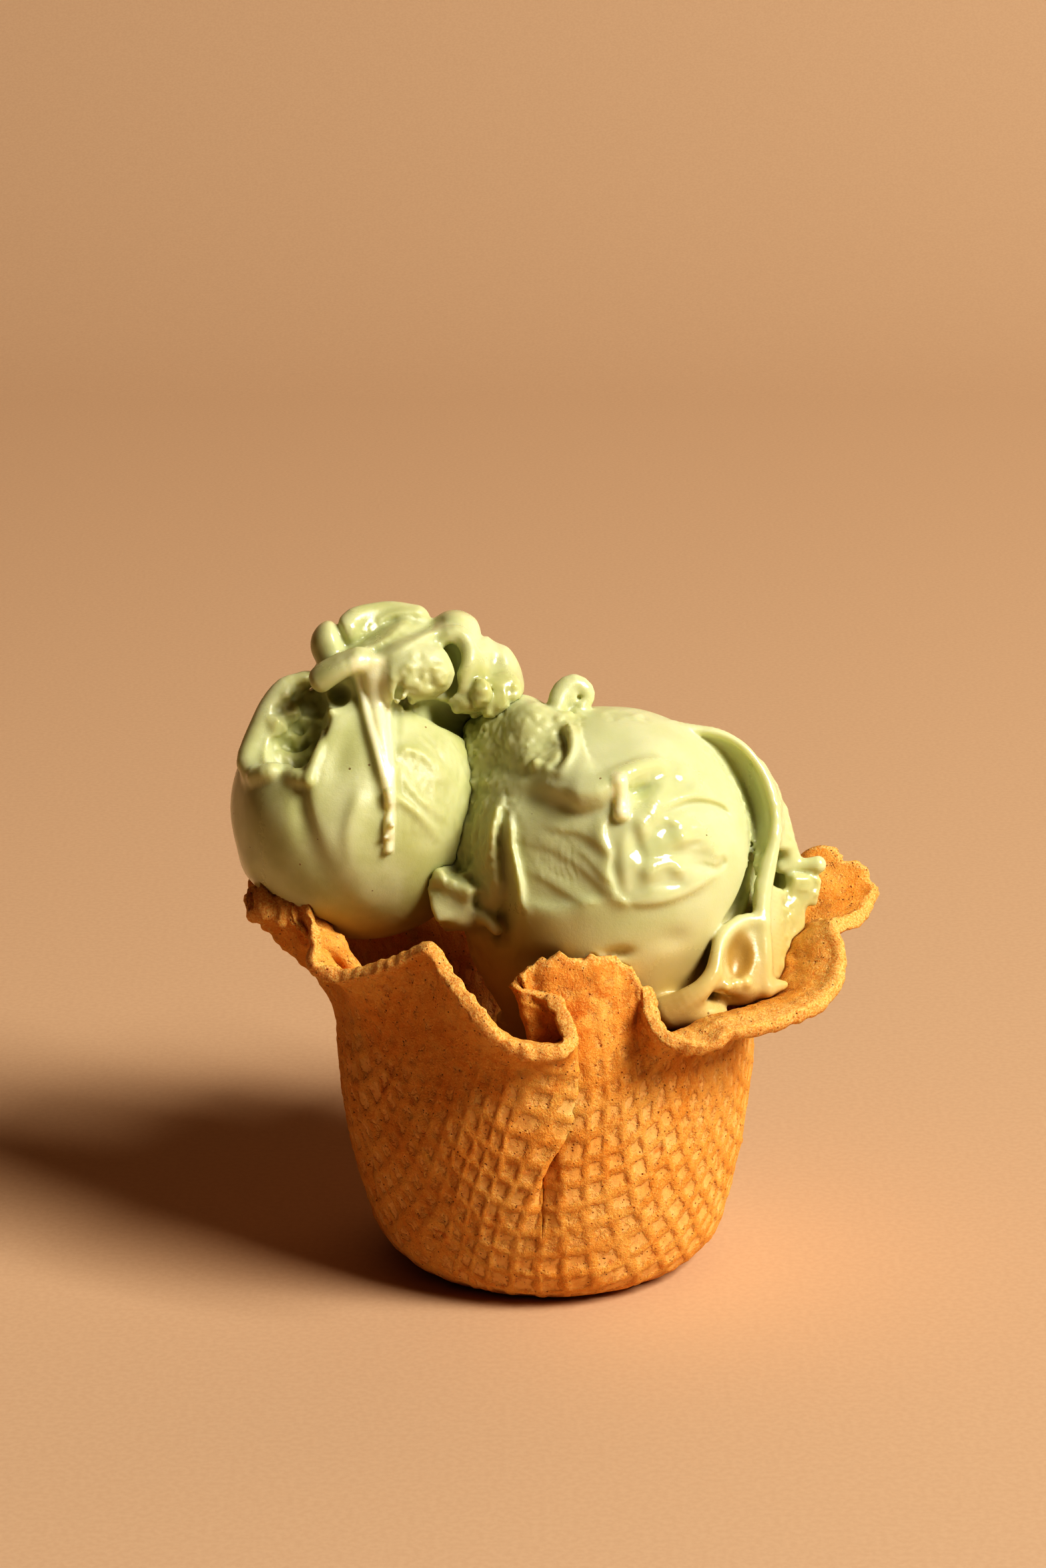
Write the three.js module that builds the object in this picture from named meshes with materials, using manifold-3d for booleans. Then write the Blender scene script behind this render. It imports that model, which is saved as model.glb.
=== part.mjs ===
// Gelato cup: a pleated waffle cup with a ruffled rim that holds two scoops of pistachio gelato.
// Millimetres, +Z up, +X to the right, -Y to the front. The origin is the centre of the cup's
// flat underside, which rests on z = 0.
import * as THREE from 'three';
import { mergeVertices } from 'three/addons/utils/BufferGeometryUtils.js';
import Module from 'manifold-3d';

const wasm = await Module();
wasm.setup();

// ---- driving dimensions ------------------------------------------------------------------------
const WAFER = 2.4;            // thickness of the baked waffle
const BASE_RADIUS = 23.2;     // flat underside
const CORNER_RADIUS = 12.1;   // bend from the underside into the wall, at mid thickness
const WALL_LEAN = 17;         // degrees from upright where the wall leaves the bend
const UPRIGHT_HEIGHT = 48;    // height at which the wall has become upright
const WAIST_HEIGHT = 50;      // the wall ends here and the flared lip begins
const WALL_SHIFT = -0.8;      // the waist sits this much to the left of the underside
const SCOOP_GAP = 0.3;        // clearance between the two scoops
const CUP_GAP = 0.5;          // clearance between gelato and waffle
const WELD = 0.005;           // edges shorter than this are closed up where solids are joined

const LEFT_BALL = { x: -37.2, y: 3, z: 91.8, radius: 25.6 };
const RIGHT_BALL = { x: 11.2, y: -4, z: 84.8, radius: 29.3 };
const RIGHT_BELLY = 45;       // the right scoop reaches this far below its ball's middle
const STEM = { x: 6, y: 2 };  // middle of the gelato packed into the cup under the right scoop
const FACE_TILT = 17;         // degrees: scoop features lie on a face that looks up this much
const STRAND_SIDES = 6;
const STRAND_END = 0.7;       // a strand's end stands out by this share of its radius
const SURFACE_WAVE = 0.5;     // unevenness of the balls

// Pleats: each is an S-shaped lap in the wall, centred on an angle round the cup (0 is the front,
// positive to the right). side +1 laps the left panel over the right one, -1 the other way.
const PLEATS = [
  { centre: 2.5, overlap: 3.2, side: 1 },
  { centre: -62, overlap: 2.6, side: -1 },
  { centre: 86, overlap: 2.6, side: 1 },
  { centre: 152, overlap: 2.8, side: -1 },
  { centre: 218, overlap: 2.8, side: 1 },
];
const PLEAT_HALF_ANGLE = 10;  // a pleat's share of the wall, to each side
const PLEAT_TURN_RADIUS = 0.95;
const PLEAT_WAFER = 1.5;      // the laps are pressed thin at the waist
const FLAP_PROUD = 0.7;       // the outer flap stands this much above the wall
const PLEAT_CORE_SHARE = 0.35; // the turned-back part's share of the pleat
const PLEAT_TURN_SHARE = 0.36; // share of that part in each turn, and the rest runs back
const PLEAT_STEPS = 24;       // straight steps along the turned-back part

// Turning points of the ruffled rim, front and both sides: angle on the unpleated wall, angle of
// the rim itself, its radius and height, and how far the lip crests above it before it droops.
const RIM_TURNS = [
  // left ruffles, from behind to the front-left valley
  [-108, -106.5, 62.5, 72.0, 0],
  [-99, -98, 52.5, 74.0, 0],
  [-91, -92.5, 55.5, 77.4, -4],
  [-83, -85.5, 60.8, 74.6, -5],
  [-76, -79.5, 55.4, 76.4, -4],
  [-70, -74.5, 49.6, 77.0, 0],
  [-64, -66.6, 50.2, 73.0, 2.5],
  [-57, -60.0, 52.5, 68.6, 3.5],
  [-50, -52.0, 48.6, 69.0, 0],
  // front-left panel, its peak and the lip that sinks to the front
  [-40, -40.5, 46.8, 73.4, 0],
  [-30, -30.0, 46.0, 77.6, 0],
  [-24, -23.5, 47.0, 73.4, 0],
  [-19, -18.5, 48.0, 69.8, 0],
  [-13, -11.8, 49.0, 63.6, 0],
  [-8, -5.2, 49.6, 60.9, 0],
  // front curl: the lip turns in, runs back to the left and turns again
  [-4, 1.0, 49.6, 60.9, 0],
  [-2, 4.6, 47.8, 62.2, 0],
  [-0.5, 3.6, 45.0, 64.3, 0],
  [1, 1.0, 40.5, 67.4, 0],
  [2.5, -4.2, 37.4, 67.8, 0],
  [4, -10.0, 35.9, 68.8, 0],
  [6, -5.6, 33.6, 70.6, 0],
  // raised fan behind the curl
  [8, 0.3, 33.4, 73.4, 0],
  [11, 8.7, 34.0, 72.4, 0],
  [15, 16.0, 33.8, 73.2, 0],
  [20, 25.5, 34.8, 70.8, 0],
  [24, 28.0, 38.5, 67.2, 0],
  [27, 26.2, 43.5, 64.4, 0],
  // front-right lip, which droops, and the corner at the right
  [30, 27.2, 49.4, 60.6, 1],
  [35, 32.2, 52.0, 58.8, 3.5],
  [41, 39.5, 55.2, 61.0, 3.5],
  [49, 49.0, 58.0, 61.8, 3],
  [57, 58.5, 60.4, 63.0, 2],
  [63, 64.0, 61.2, 64.8, 0],
  [69, 70.0, 60.8, 69.2, 0],
  [74, 74.0, 58.0, 73.2, 0],
  // right ruffle: an inner wall, then the flap that stands out behind it
  [82, 83.0, 54.0, 71.0, 0],
  [90, 93.0, 57.0, 67.6, 0],
  [97, 102.0, 65.0, 67.2, 0],
  [104, 107.0, 68.6, 70.2, 0],
  [112, 113.5, 62.0, 75.6, 0],
];
// The back of the rim is a plain run of ruffles.
const BACK_RUFFLES = {
  from: 121, to: 244, count: 18, radius: 53, sway: 4.5, height: 70, rise: 4, waves: 3.5,
};

const COLUMN_STEP = 6;        // degrees between mesh columns
const PLEAT_COLUMN_STEP = 0.8;
const CORNER_ROWS = 3;
const WALL_ROWS = 4;
const LIP_ROWS = 4;
const RAGGED_EDGE = 0.5;      // unevenness of the broken edge
const LIP_BEND = { out: 0.3, up: 0.72 }; // where the lip's bend lies between waist and rim
const BEND_LIMIT = 0.85;      // a face keeps this share of the way to a tight bend's centre

// ---- small helpers -----------------------------------------------------------------------------
const rad = THREE.MathUtils.degToRad;
const clamp = THREE.MathUtils.clamp;
const lerp = THREE.MathUtils.lerp;
const ramp = THREE.MathUtils.smoothstep;

// Repeatable noise in -1..1 from a whole number.
function jitter(n) {
  const s = Math.sin(n * 127.1 + 311.7) * 43758.5453;
  return 2 * (s - Math.floor(s)) - 1;
}

function polar(angle, radius, z) {
  return new THREE.Vector3(radius * Math.sin(rad(angle)), -radius * Math.cos(rad(angle)), z);
}

function geometryFrom(points, faces) {
  const geometry = new THREE.BufferGeometry();
  const coordinates = points.flatMap((point) => point.toArray());
  geometry.setAttribute('position', new THREE.Float32BufferAttribute(coordinates, 3));
  geometry.setIndex(faces.flat());
  return geometry;
}

function toSolid(geometry) {
  const bare = geometry.clone();
  bare.deleteAttribute('normal');
  bare.deleteAttribute('uv');
  const merged = mergeVertices(bare, 1e-4);
  return new wasm.Manifold(new wasm.Mesh({
    numProp: 3,
    vertProperties: Float32Array.from(merged.attributes.position.array),
    triVerts: Uint32Array.from(merged.index.array),
    tolerance: WELD,
  }));
}

function joinAll(solids) {
  return solids.reduce((whole, next) => whole.add(next));
}

function largestPiece(solid) {
  const pieces = solid.decompose();
  return pieces.reduce((best, piece) => (piece.volume() > best.volume() ? piece : best));
}

function toMesh(solid, name, material) {
  const data = solid.getMesh();
  const geometry = new THREE.BufferGeometry();
  geometry.setAttribute('position', new THREE.Float32BufferAttribute(data.vertProperties, 3));
  geometry.setIndex(Array.from(data.triVerts));
  const mesh = new THREE.Mesh(geometry, material);
  mesh.name = name;
  return mesh;
}

// ---- waffle cup --------------------------------------------------------------------------------
// Section of a pleat, as distance along the wall and outward from it, at share q (-1..1) of its
// width. The heading swings round to the turned-back layer and round again, so the lap opens and
// closes without stretching. strength 0 is a smooth wall and 1 the full lap.
function pleatSection(pleat, q, strength, wallRadius) {
  const halfWidth = rad(PLEAT_HALF_ANGLE) * wallRadius;
  const heading = Math.PI * strength;
  const open = (1 - strength) ** 3;
  const coreShare = PLEAT_CORE_SHARE;
  const turnShare = PLEAT_TURN_SHARE;
  const backShare = 1 - 2 * turnShare;
  const openWidth = 2 * halfWidth * coreShare * open;
  const turnLength = turnShare * openWidth + Math.PI * PLEAT_TURN_RADIUS * strength;
  const backLength = backShare * openWidth + 2 * pleat.overlap * strength ** 3;
  const core = [{ w: 0, n: 0 }];
  for (let i = 0; i < PLEAT_STEPS; i += 1) {
    const u = (i + 0.5) / PLEAT_STEPS;
    const swing = heading * Math.min(ramp(u, 0, turnShare), 1 - ramp(u, 1 - turnShare, 1));
    const turning = u < turnShare || u > 1 - turnShare;
    const length = (turning ? turnLength / turnShare : backLength / backShare) / PLEAT_STEPS;
    const last = core[core.length - 1];
    core.push({ w: last.w + length * Math.cos(swing), n: last.n - length * Math.sin(swing) });
  }
  const end = core[PLEAT_STEPS];
  const straight = (2 * halfWidth - end.w) / 2;
  const along = q * pleat.side;
  if (along < -coreShare) {
    const w = -halfWidth + straight * (along + 1) / (1 - coreShare);
    return { w: w * pleat.side, n: FLAP_PROUD * strength * ramp(along, -1, -coreShare) };
  }
  if (along > coreShare) {
    const w = halfWidth - straight * (1 - along) / (1 - coreShare);
    const rise = 1 - ramp(w, -pleat.overlap, halfWidth);
    return { w: w * pleat.side, n: (end.n + FLAP_PROUD * strength) * rise };
  }
  const place = (along + coreShare) / (2 * coreShare) * PLEAT_STEPS;
  const i = Math.min(Math.floor(place), PLEAT_STEPS - 1);
  const f = place - i;
  const w = -halfWidth + straight + lerp(core[i].w, core[i + 1].w, f);
  return { w: w * pleat.side, n: FLAP_PROUD * strength + lerp(core[i].n, core[i + 1].n, f) };
}

// Radius and height of the wall's mid surface, from the edge of the flat underside to the waist.
function wallProfile(v) {
  const cornerEnd = rad(90 - WALL_LEAN);
  const endRadius = BASE_RADIUS + CORNER_RADIUS * Math.sin(cornerEnd);
  const endHeight = WAFER / 2 + CORNER_RADIUS * (1 - Math.cos(cornerEnd));
  if (v <= 0) {
    const bend = cornerEnd * (v + 1);
    return {
      radius: BASE_RADIUS + CORNER_RADIUS * Math.sin(bend),
      z: WAFER / 2 + CORNER_RADIUS * (1 - Math.cos(bend)),
    };
  }
  const z = lerp(endHeight, WAIST_HEIGHT, v);
  const u = clamp((z - endHeight) / (UPRIGHT_HEIGHT - endHeight), 0, 1);
  const bulge = Math.tan(rad(WALL_LEAN)) * (UPRIGHT_HEIGHT - endHeight) * (u - u * u / 2);
  return { radius: endRadius + bulge, z };
}

function pleatAt(angle) {
  return PLEATS.find((pleat) => Math.abs(angle - pleat.centre) < PLEAT_HALF_ANGLE);
}

// A point of the wall's mid surface: v from -1 (flat underside) through 0 (bend) to 1 (waist).
function wallPoint(angle, v) {
  const { radius, z } = wallProfile(v);
  const pleat = pleatAt(angle);
  let point = polar(angle, radius, z);
  if (pleat) {
    const strength = ramp(v, -0.5, 0.85);
    const share = (angle - pleat.centre) / PLEAT_HALF_ANGLE;
    const section = pleatSection(pleat, share, strength, radius);
    const turned = pleat.centre + THREE.MathUtils.radToDeg(section.w / radius);
    point = polar(turned, radius + section.n, z);
  }
  point.x += WALL_SHIFT * ramp(v, -0.5, 1);
  return point;
}

function rimTurns() {
  const { from, to, count, radius, sway, height, rise, waves } = BACK_RUFFLES;
  const back = [];
  for (let i = 0; i < count; i += 1) {
    const share = i / (count - 1);
    const angle = lerp(from, to, share);
    const wave = Math.cos(2 * Math.PI * waves * share);
    const rimAngle = angle + 2 * jitter(i + 3);
    back.push([angle, rimAngle, radius - sway * wave, height - rise * wave + jitter(i), 0]);
  }
  return [...RIM_TURNS, ...back];
}

// Columns round the cup: each has its angle on the wall, its rim point and its crest.
function cupColumns() {
  const turns = rimTurns();
  const rimPoints = turns.map((turn) => polar(turn[1], turn[2], turn[3]));
  const rim = new THREE.CatmullRomCurve3(rimPoints, true, 'centripetal');
  const columns = [];
  turns.forEach((turn, i) => {
    const next = turns[(i + 1) % turns.length];
    const nextAngle = i + 1 < turns.length ? next[0] : next[0] + 360;
    const middle = (turn[0] + nextAngle) / 2;
    const pleat = pleatAt(middle);
    const tight = pleat && Math.abs(middle - pleat.centre) < PLEAT_HALF_ANGLE / 2;
    const pieces = Math.ceil((nextAngle - turn[0]) / (tight ? PLEAT_COLUMN_STEP : COLUMN_STEP));
    for (let j = 0; j < pieces; j += 1) {
      const f = j / pieces;
      const edge = rim.getPoint((i + f) / turns.length);
      edge.z += RAGGED_EDGE * jitter(columns.length);
      columns.push({ angle: lerp(turn[0], nextAngle, f), edge, crest: lerp(turn[4], next[4], f) });
    }
  });
  return columns;
}

// A point of the lip's mid surface: a quadratic bend from the waist (t = 0) to the rim (t = 1).
function lipPoint(column, t) {
  const waist = wallPoint(column.angle, 1);
  const bend = waist.clone().lerp(column.edge, LIP_BEND.out);
  bend.z = lerp(waist.z, column.edge.z, LIP_BEND.up) + 2 * column.crest;
  return new THREE.QuadraticBezierCurve3(waist, bend, column.edge).getPoint(t);
}

function columnPoints(column) {
  const points = [];
  for (let i = 0; i <= CORNER_ROWS; i += 1) {
    points.push(wallPoint(column.angle, i / CORNER_ROWS - 1));
  }
  for (let i = 1; i <= WALL_ROWS; i += 1) {
    points.push(wallPoint(column.angle, i / WALL_ROWS));
  }
  for (let i = 1; i <= LIP_ROWS; i += 1) {
    points.push(lipPoint(column, i / LIP_ROWS));
  }
  return points;
}

// Half the wafer's thickness: thinner in a pleat's turned-back part, most of all at the waist.
function halfThickness(angle, row, thickness) {
  const pleat = pleatAt(angle);
  if (!pleat) {
    return thickness / 2;
  }
  const q = Math.abs(angle - pleat.centre) / PLEAT_HALF_ANGLE;
  const waistRow = CORNER_ROWS + WALL_ROWS;
  const below = ramp(row, 0, waistRow);
  const above = 1 - ramp(row, waistRow, waistRow + LIP_ROWS);
  const squeeze = Math.min(below, above);
  const thin = (1 - ramp(q, PLEAT_CORE_SHARE, 2 * PLEAT_CORE_SHARE)) * squeeze;
  return lerp(thickness, thickness - WAFER + PLEAT_WAFER, thin) / 2;
}

// The closed shell of the cup, or of the clear space around it where gap is over 0: both faces of
// the wafer lie off its mid surface, but never past the centre of a tight bend.
function cupShell(gap) {
  const thickness = WAFER + 2 * gap;
  const columns = cupColumns();
  const grid = columns.map(columnPoints);
  for (const points of grid) {
    const [below, edge] = points.slice(-2);
    edge.addScaledVector(edge.clone().sub(below).normalize(), gap);
  }
  const count = grid.length;
  const rows = grid[0].length;
  const normals = grid.map((points, i) => points.map((point, j) => {
    const across = grid[(i + 1) % count][j].clone().sub(grid[(i - 1 + count) % count][j]);
    const along = points[Math.min(j + 1, rows - 1)].clone().sub(points[Math.max(j - 1, 0)]);
    return j === 0 ? new THREE.Vector3(0, 0, -1) : across.cross(along).normalize();
  }));
  const outer = [];
  const inner = [];
  for (let i = 0; i < count; i += 1) {
    const before = (i - 1 + count) % count;
    const after = (i + 1) % count;
    for (let j = 0; j < rows; j += 1) {
      const step = grid[after][j].clone().sub(grid[before][j]);
      const turn = normals[after][j].clone().sub(normals[before][j]);
      const curvature = turn.dot(step) / step.lengthSq();
      const half = halfThickness(columns[i].angle, j, thickness);
      const outward = curvature < 0 ? Math.min(half, -BEND_LIMIT / curvature) : half;
      const inward = curvature > 0 ? Math.min(half, BEND_LIMIT / curvature) : half;
      outer.push(grid[i][j].clone().addScaledVector(normals[i][j], outward));
      inner.push(grid[i][j].clone().addScaledVector(normals[i][j], -inward));
    }
  }
  const under = new THREE.Vector3(0, 0, outer[0].z);
  const floor = new THREE.Vector3(0, 0, inner[0].z);
  const points = [...outer, ...inner, under, floor];
  const faces = [];
  const quad = (a, b, c, d) => faces.push([a, b, c], [a, c, d]);
  for (let i = 0; i < count; i += 1) {
    const a = i * rows;
    const b = ((i + 1) % count) * rows;
    const lining = count * rows;
    for (let j = 0; j < rows - 1; j += 1) {
      quad(a + j, b + j, b + j + 1, a + j + 1);
      quad(lining + a + j, lining + a + j + 1, lining + b + j + 1, lining + b + j);
    }
    quad(a + rows - 1, b + rows - 1, lining + b + rows - 1, lining + a + rows - 1);
    faces.push([b, a, 2 * lining], [lining + a, lining + b, 2 * lining + 1]);
  }
  return toSolid(geometryFrom(points, faces));
}

// ---- gelato ------------------------------------------------------------------------------------
// Features of a scoop are placed by (right, up) on the face that looks to the front and slightly
// upward, in millimetres from the middle of its ball. depth is the distance out of that face, and
// is the ball's own surface where none is given.
const UP = new THREE.Vector3(0, Math.sin(rad(FACE_TILT)), Math.cos(rad(FACE_TILT)));
const TOWARD = new THREE.Vector3(0, -Math.cos(rad(FACE_TILT)), Math.sin(rad(FACE_TILT)));

function placed(ball, right, up, depth) {
  const surface = Math.sqrt(Math.max(0, ball.radius ** 2 - right ** 2 - up ** 2));
  return new THREE.Vector3(ball.x + right, ball.y, ball.z)
    .addScaledVector(UP, up)
    .addScaledVector(TOWARD, depth === undefined ? surface : depth);
}

// A lump: a ball, or an egg with its own half sizes along right, up and toward. shape moves each
// direction's radius in or out by so many millimetres.
function lump(centre, sizes, detail, grow, shape = () => 0) {
  const geometry = new THREE.IcosahedronGeometry(1, detail);
  const position = geometry.attributes.position;
  const direction = new THREE.Vector3();
  for (let i = 0; i < position.count; i += 1) {
    direction.fromBufferAttribute(position, i).normalize();
    const right = direction.x;
    const up = direction.dot(UP);
    const toward = direction.dot(TOWARD);
    const reach = 1 / Math.hypot(right / sizes[0], up / sizes[1], toward / sizes[2]);
    direction.multiplyScalar(reach + grow + shape(direction)).add(centre);
    position.setXYZ(i, direction.x, direction.y, direction.z);
  }
  return toSolid(geometry);
}

// A strand, ridge or drip: a round stroke through places [point, radius], tapering between them.
function strand(places, grow) {
  const sides = STRAND_SIDES;
  const curve = new THREE.CatmullRomCurve3(places.map((place) => place[0]), false, 'centripetal');
  const rings = 2 * (places.length - 1);
  const frames = curve.computeFrenetFrames(rings, false);
  const points = [];
  const faces = [];
  for (let i = 0; i <= rings; i += 1) {
    const t = curve.getUtoTmapping(i / rings);
    const step = t * (places.length - 1);
    const k = Math.min(Math.floor(step), places.length - 2);
    const radius = lerp(places[k][1], places[k + 1][1], step - k) + grow;
    const middle = curve.getPoint(t);
    for (let j = 0; j < sides; j += 1) {
      const turn = 2 * Math.PI * j / sides;
      points.push(middle.clone()
        .addScaledVector(frames.normals[i], radius * Math.cos(turn))
        .addScaledVector(frames.binormals[i], radius * Math.sin(turn)));
    }
  }
  const capEnd = ([point, radius], tangent, sign) => {
    const reach = sign * STRAND_END * (radius + grow);
    return points.push(point.clone().addScaledVector(tangent, reach)) - 1;
  };
  const head = capEnd(places[0], frames.tangents[0], -1);
  const tail = capEnd(places[places.length - 1], frames.tangents[rings], 1);
  for (let j = 0; j < sides; j += 1) {
    const k = (j + 1) % sides;
    for (let i = 0; i < rings; i += 1) {
      faces.push([i * sides + j, i * sides + k, (i + 1) * sides + k]);
      faces.push([i * sides + j, (i + 1) * sides + k, (i + 1) * sides + j]);
    }
    faces.push([head, k, j], [tail, rings * sides + j, rings * sides + k]);
  }
  return toSolid(geometryFrom(points, faces));
}

// How near a direction from a ball's middle is to a feature: 1 at its centre, 0 past its edge.
function nearness(direction, ball, right, up, halfWidth, halfHeight) {
  const toward = direction.dot(TOWARD);
  if (toward < -0.2) {
    return 0;
  }
  const across = (direction.x * ball.radius - right) / halfWidth;
  const above = (direction.dot(UP) * ball.radius - up) / halfHeight;
  return 1 - ramp(Math.hypot(across, above), 0, 1);
}

function unevenness(direction, size, seed) {
  const wave = (a, b, c) => Math.sin(a * direction.x + b * direction.y + c * direction.z + seed);
  return size * (wave(5, 3, 2) + wave(-2, 6, 4) + wave(3, -4, 7)) / 3;
}

function leftScoop(grow) {
  const ball = LEFT_BALL;
  const at = (right, up, depth) => placed(ball, right, up, depth);
  const bodyShape = (d) => unevenness(d, SURFACE_WAVE, 1)
    - 8 * nearness(d, ball, -11, 15, 7, 11)
    - 2 * nearness(d, ball, 18, 17, 9, 5)
    + 1.3 * nearness(d, ball, 4, -4, 14, 22);
  const body = lump(at(0, 0, 0), [ball.radius, ball.radius, ball.radius], 7, grow, bodyShape);
  const cap = lump(at(10.5, 26.8, 3), [20.5, 12, 17], 5, grow, (d) => unevenness(d, 1, 4));
  const neck = lump(at(18, 16, 2), [10, 9, 13], 3, grow);
  const brow = lump(at(26, 24, 6), [7.5, 8, 10], 3, grow, (d) => unevenness(d, 0.8, 2));
  const strands = [
    // the long strand down the front and its drip
    [[at(-4, 32, 16), 3], [at(1.5, 28, 20), 3], [at(2.8, 21, 20.5), 2.9], [at(4.5, 12, 23.8), 2.4],
      [at(6.2, 3, 25.6), 1.9], [at(6.6, -2, 25.8), 1.1], [at(6.4, -8, 25), 1.4]],
    // the lobes at the cap's upper left
    [[at(0, 28, 18), 3], [at(-5, 25.5, 17.5), 2.8], [at(-8.6, 24, 16), 2.9]],
    [[at(4, 34.5, 10), 3.6], [at(-1.5, 34.5, 10), 3.6], [at(-5.6, 32.6, 10), 3.8]],
    // the ridge over the top
    [[at(0, 35, 4), 3], [at(6.5, 38, 4), 2.6], [at(13, 37, 5), 2.8], [at(18.5, 34, 6), 4]],
    // the arch over the dark hollow and the ragged shelf under it
    [[at(18, 34, 12), 2.4], [at(21, 31, 13), 2.2], [at(21, 24, 13), 2]],
    [[at(11, 27, 19), 2.4], [at(15, 25, 18), 2.5], [at(18.5, 23, 16), 2.2]],
    // the flap down the left side of the hollow
    [[at(-13, 22.5, 9), 2.8], [at(-17.6, 18, 8), 3], [at(-20.8, 11.5, 9), 3.2], [at(-20, 5, 13), 3.4]],
  ];
  return joinAll([body, cap, neck, brow, ...strands.map((places) => strand(places, grow))]);
}

// The plain gelato packed into the cup under the right scoop, from just above the floor.
function packedStem(grow) {
  const bottom = WAFER + CUP_GAP;
  const outline = new THREE.SplineCurve([
    new THREE.Vector2(15, bottom),
    new THREE.Vector2(21.5, bottom + 8),
    new THREE.Vector2(21, bottom + 20),
    new THREE.Vector2(17.5, bottom + 34),
    new THREE.Vector2(16, bottom + 46),
  ]).getPoints(6);
  const top = outline[outline.length - 1].y;
  const closed = [new THREE.Vector2(0, bottom), ...outline, new THREE.Vector2(0, top)];
  closed.forEach((point) => { point.x += point.x > 0 ? grow : 0; });
  const geometry = new THREE.LatheGeometry(closed, 16);
  geometry.rotateX(Math.PI / 2).translate(STEM.x, STEM.y, 0);
  return toSolid(geometry);
}

function rightScoop(grow) {
  const ball = RIGHT_BALL;
  const at = (right, up, depth) => placed(ball, right, up, depth);
  // the ball hangs down into the cup, like an egg standing on its point
  const bodyShape = (d) => {
    const across = Math.hypot(d.x, d.y) / ball.radius;
    const belly = d.z < 0 ? 1 / Math.hypot(across, d.z / RIGHT_BELLY) - ball.radius : 0;
    return belly + unevenness(d, SURFACE_WAVE, 3)
      - 1.8 * nearness(d, ball, -9, -1, 8, 9)
      - 1.5 * nearness(d, ball, -12, 20, 7, 7)
      + 1.6 * nearness(d, ball, 12, 3, 12, 14);
  };
  const body = lump(at(0, 0, 0), [ball.radius, ball.radius, ball.radius], 8, grow, bodyShape);
  const skirt = lump(at(26.6, -1, -4), [9.4, 22.5, 12], 4, grow, (d) => unevenness(d, 0.8, 5));
  const strands = [
    // the curl on top
    [[at(-17, 22, 9), 3.4], [at(-12.5, 26.6, 8), 3], [at(-7.6, 29.8, 7), 3.1],
      [at(-4.4, 29.6, 5), 2.8], [at(-3, 27, 6), 2.6]],
    // the soft fold over the front, ending in a drip
    [[at(-17, 11.5, 21), 2.2], [at(-10.5, 9.7, 25), 2.4], [at(-4.5, 9.2, 27), 2.4],
      [at(0.5, 10.5, 27), 2.5], [at(3, 14, 25.5), 2.2], [at(9.5, 17, 22), 2]],
    [[at(1, 11, 27.2), 2.2], [at(2.6, 7.5, 28.3), 1.7]],
    // the skirt's bright edge down to the rim, and the knob at its side
    [[at(12, 23.5, 6), 2.2], [at(21.5, 21.4, 2), 2.2], [at(28, 17.6, 1), 2.1],
      [at(32, 11, 1), 2], [at(33, 4, 2), 2], [at(30.8, -4, 5), 2.1], [at(29.2, -12, 8), 2.2],
      [at(29.6, -19, 10), 1.9], [at(30.4, -24.5, 11), 2.6]],
    [[at(34, 2, -2), 2.4], [at(38, -0.5, -3), 1.9], [at(41, -1.6, -3), 2]],
    // the loop that hangs to the front and runs back into the cup
    [[at(29.2, -12, 8), 2], [at(24.8, -12.4, 11), 1.6], [at(21, -16.5, 14), 1.4],
      [at(19.6, -21, 15), 1.5], [at(17, -25.5, 14), 2], [at(12, -29, 13), 2.8]],
  ];
  // the torn chunk where the scoops meet
  const chunk = lump(at(-29, -7.5, 12), [4.6, 5.6, 4.5], 2, grow);
  const ropes = strands.map((places) => strand(places, grow));
  return joinAll([body, packedStem(grow), skirt, chunk, ...ropes]);
}

// ---- the three parts, each cut clear of its neighbours -------------------------------------------
const cup = cupShell(0);
const cupClearance = cupShell(CUP_GAP);
const right = largestPiece(rightScoop(0).subtract(cupClearance));
const left = largestPiece(leftScoop(0).subtract(rightScoop(SCOOP_GAP)).subtract(cupClearance));

const waffle = new THREE.MeshStandardMaterial({ color: 0xe0994f, roughness: 0.75, metalness: 0 });
const gelato = new THREE.MeshStandardMaterial({ color: 0xdcd79a, roughness: 0.35, metalness: 0 });

const model = new THREE.Group();
model.add(toMesh(cup, 'waffle_cup', waffle));
model.add(toMesh(left, 'gelato_scoop_left', gelato));
model.add(toMesh(right, 'gelato_scoop_right', gelato.clone()));
export default model;
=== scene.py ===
"""Gelato cup: a pleated waffle cup with a ruffled rim and two scoops of pistachio gelato."""

import bpy
import numpy as np
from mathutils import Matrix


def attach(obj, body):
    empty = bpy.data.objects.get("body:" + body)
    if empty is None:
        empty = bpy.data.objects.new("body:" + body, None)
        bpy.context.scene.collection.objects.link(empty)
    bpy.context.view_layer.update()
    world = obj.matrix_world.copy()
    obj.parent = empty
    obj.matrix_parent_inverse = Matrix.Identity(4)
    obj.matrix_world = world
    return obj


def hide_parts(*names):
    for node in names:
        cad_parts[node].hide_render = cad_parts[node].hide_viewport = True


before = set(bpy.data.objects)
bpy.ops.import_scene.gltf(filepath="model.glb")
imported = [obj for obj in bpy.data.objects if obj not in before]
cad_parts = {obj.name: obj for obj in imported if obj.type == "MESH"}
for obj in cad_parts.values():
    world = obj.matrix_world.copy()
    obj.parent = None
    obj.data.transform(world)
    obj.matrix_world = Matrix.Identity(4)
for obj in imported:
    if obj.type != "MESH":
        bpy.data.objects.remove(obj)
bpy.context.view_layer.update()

import openvdb

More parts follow.
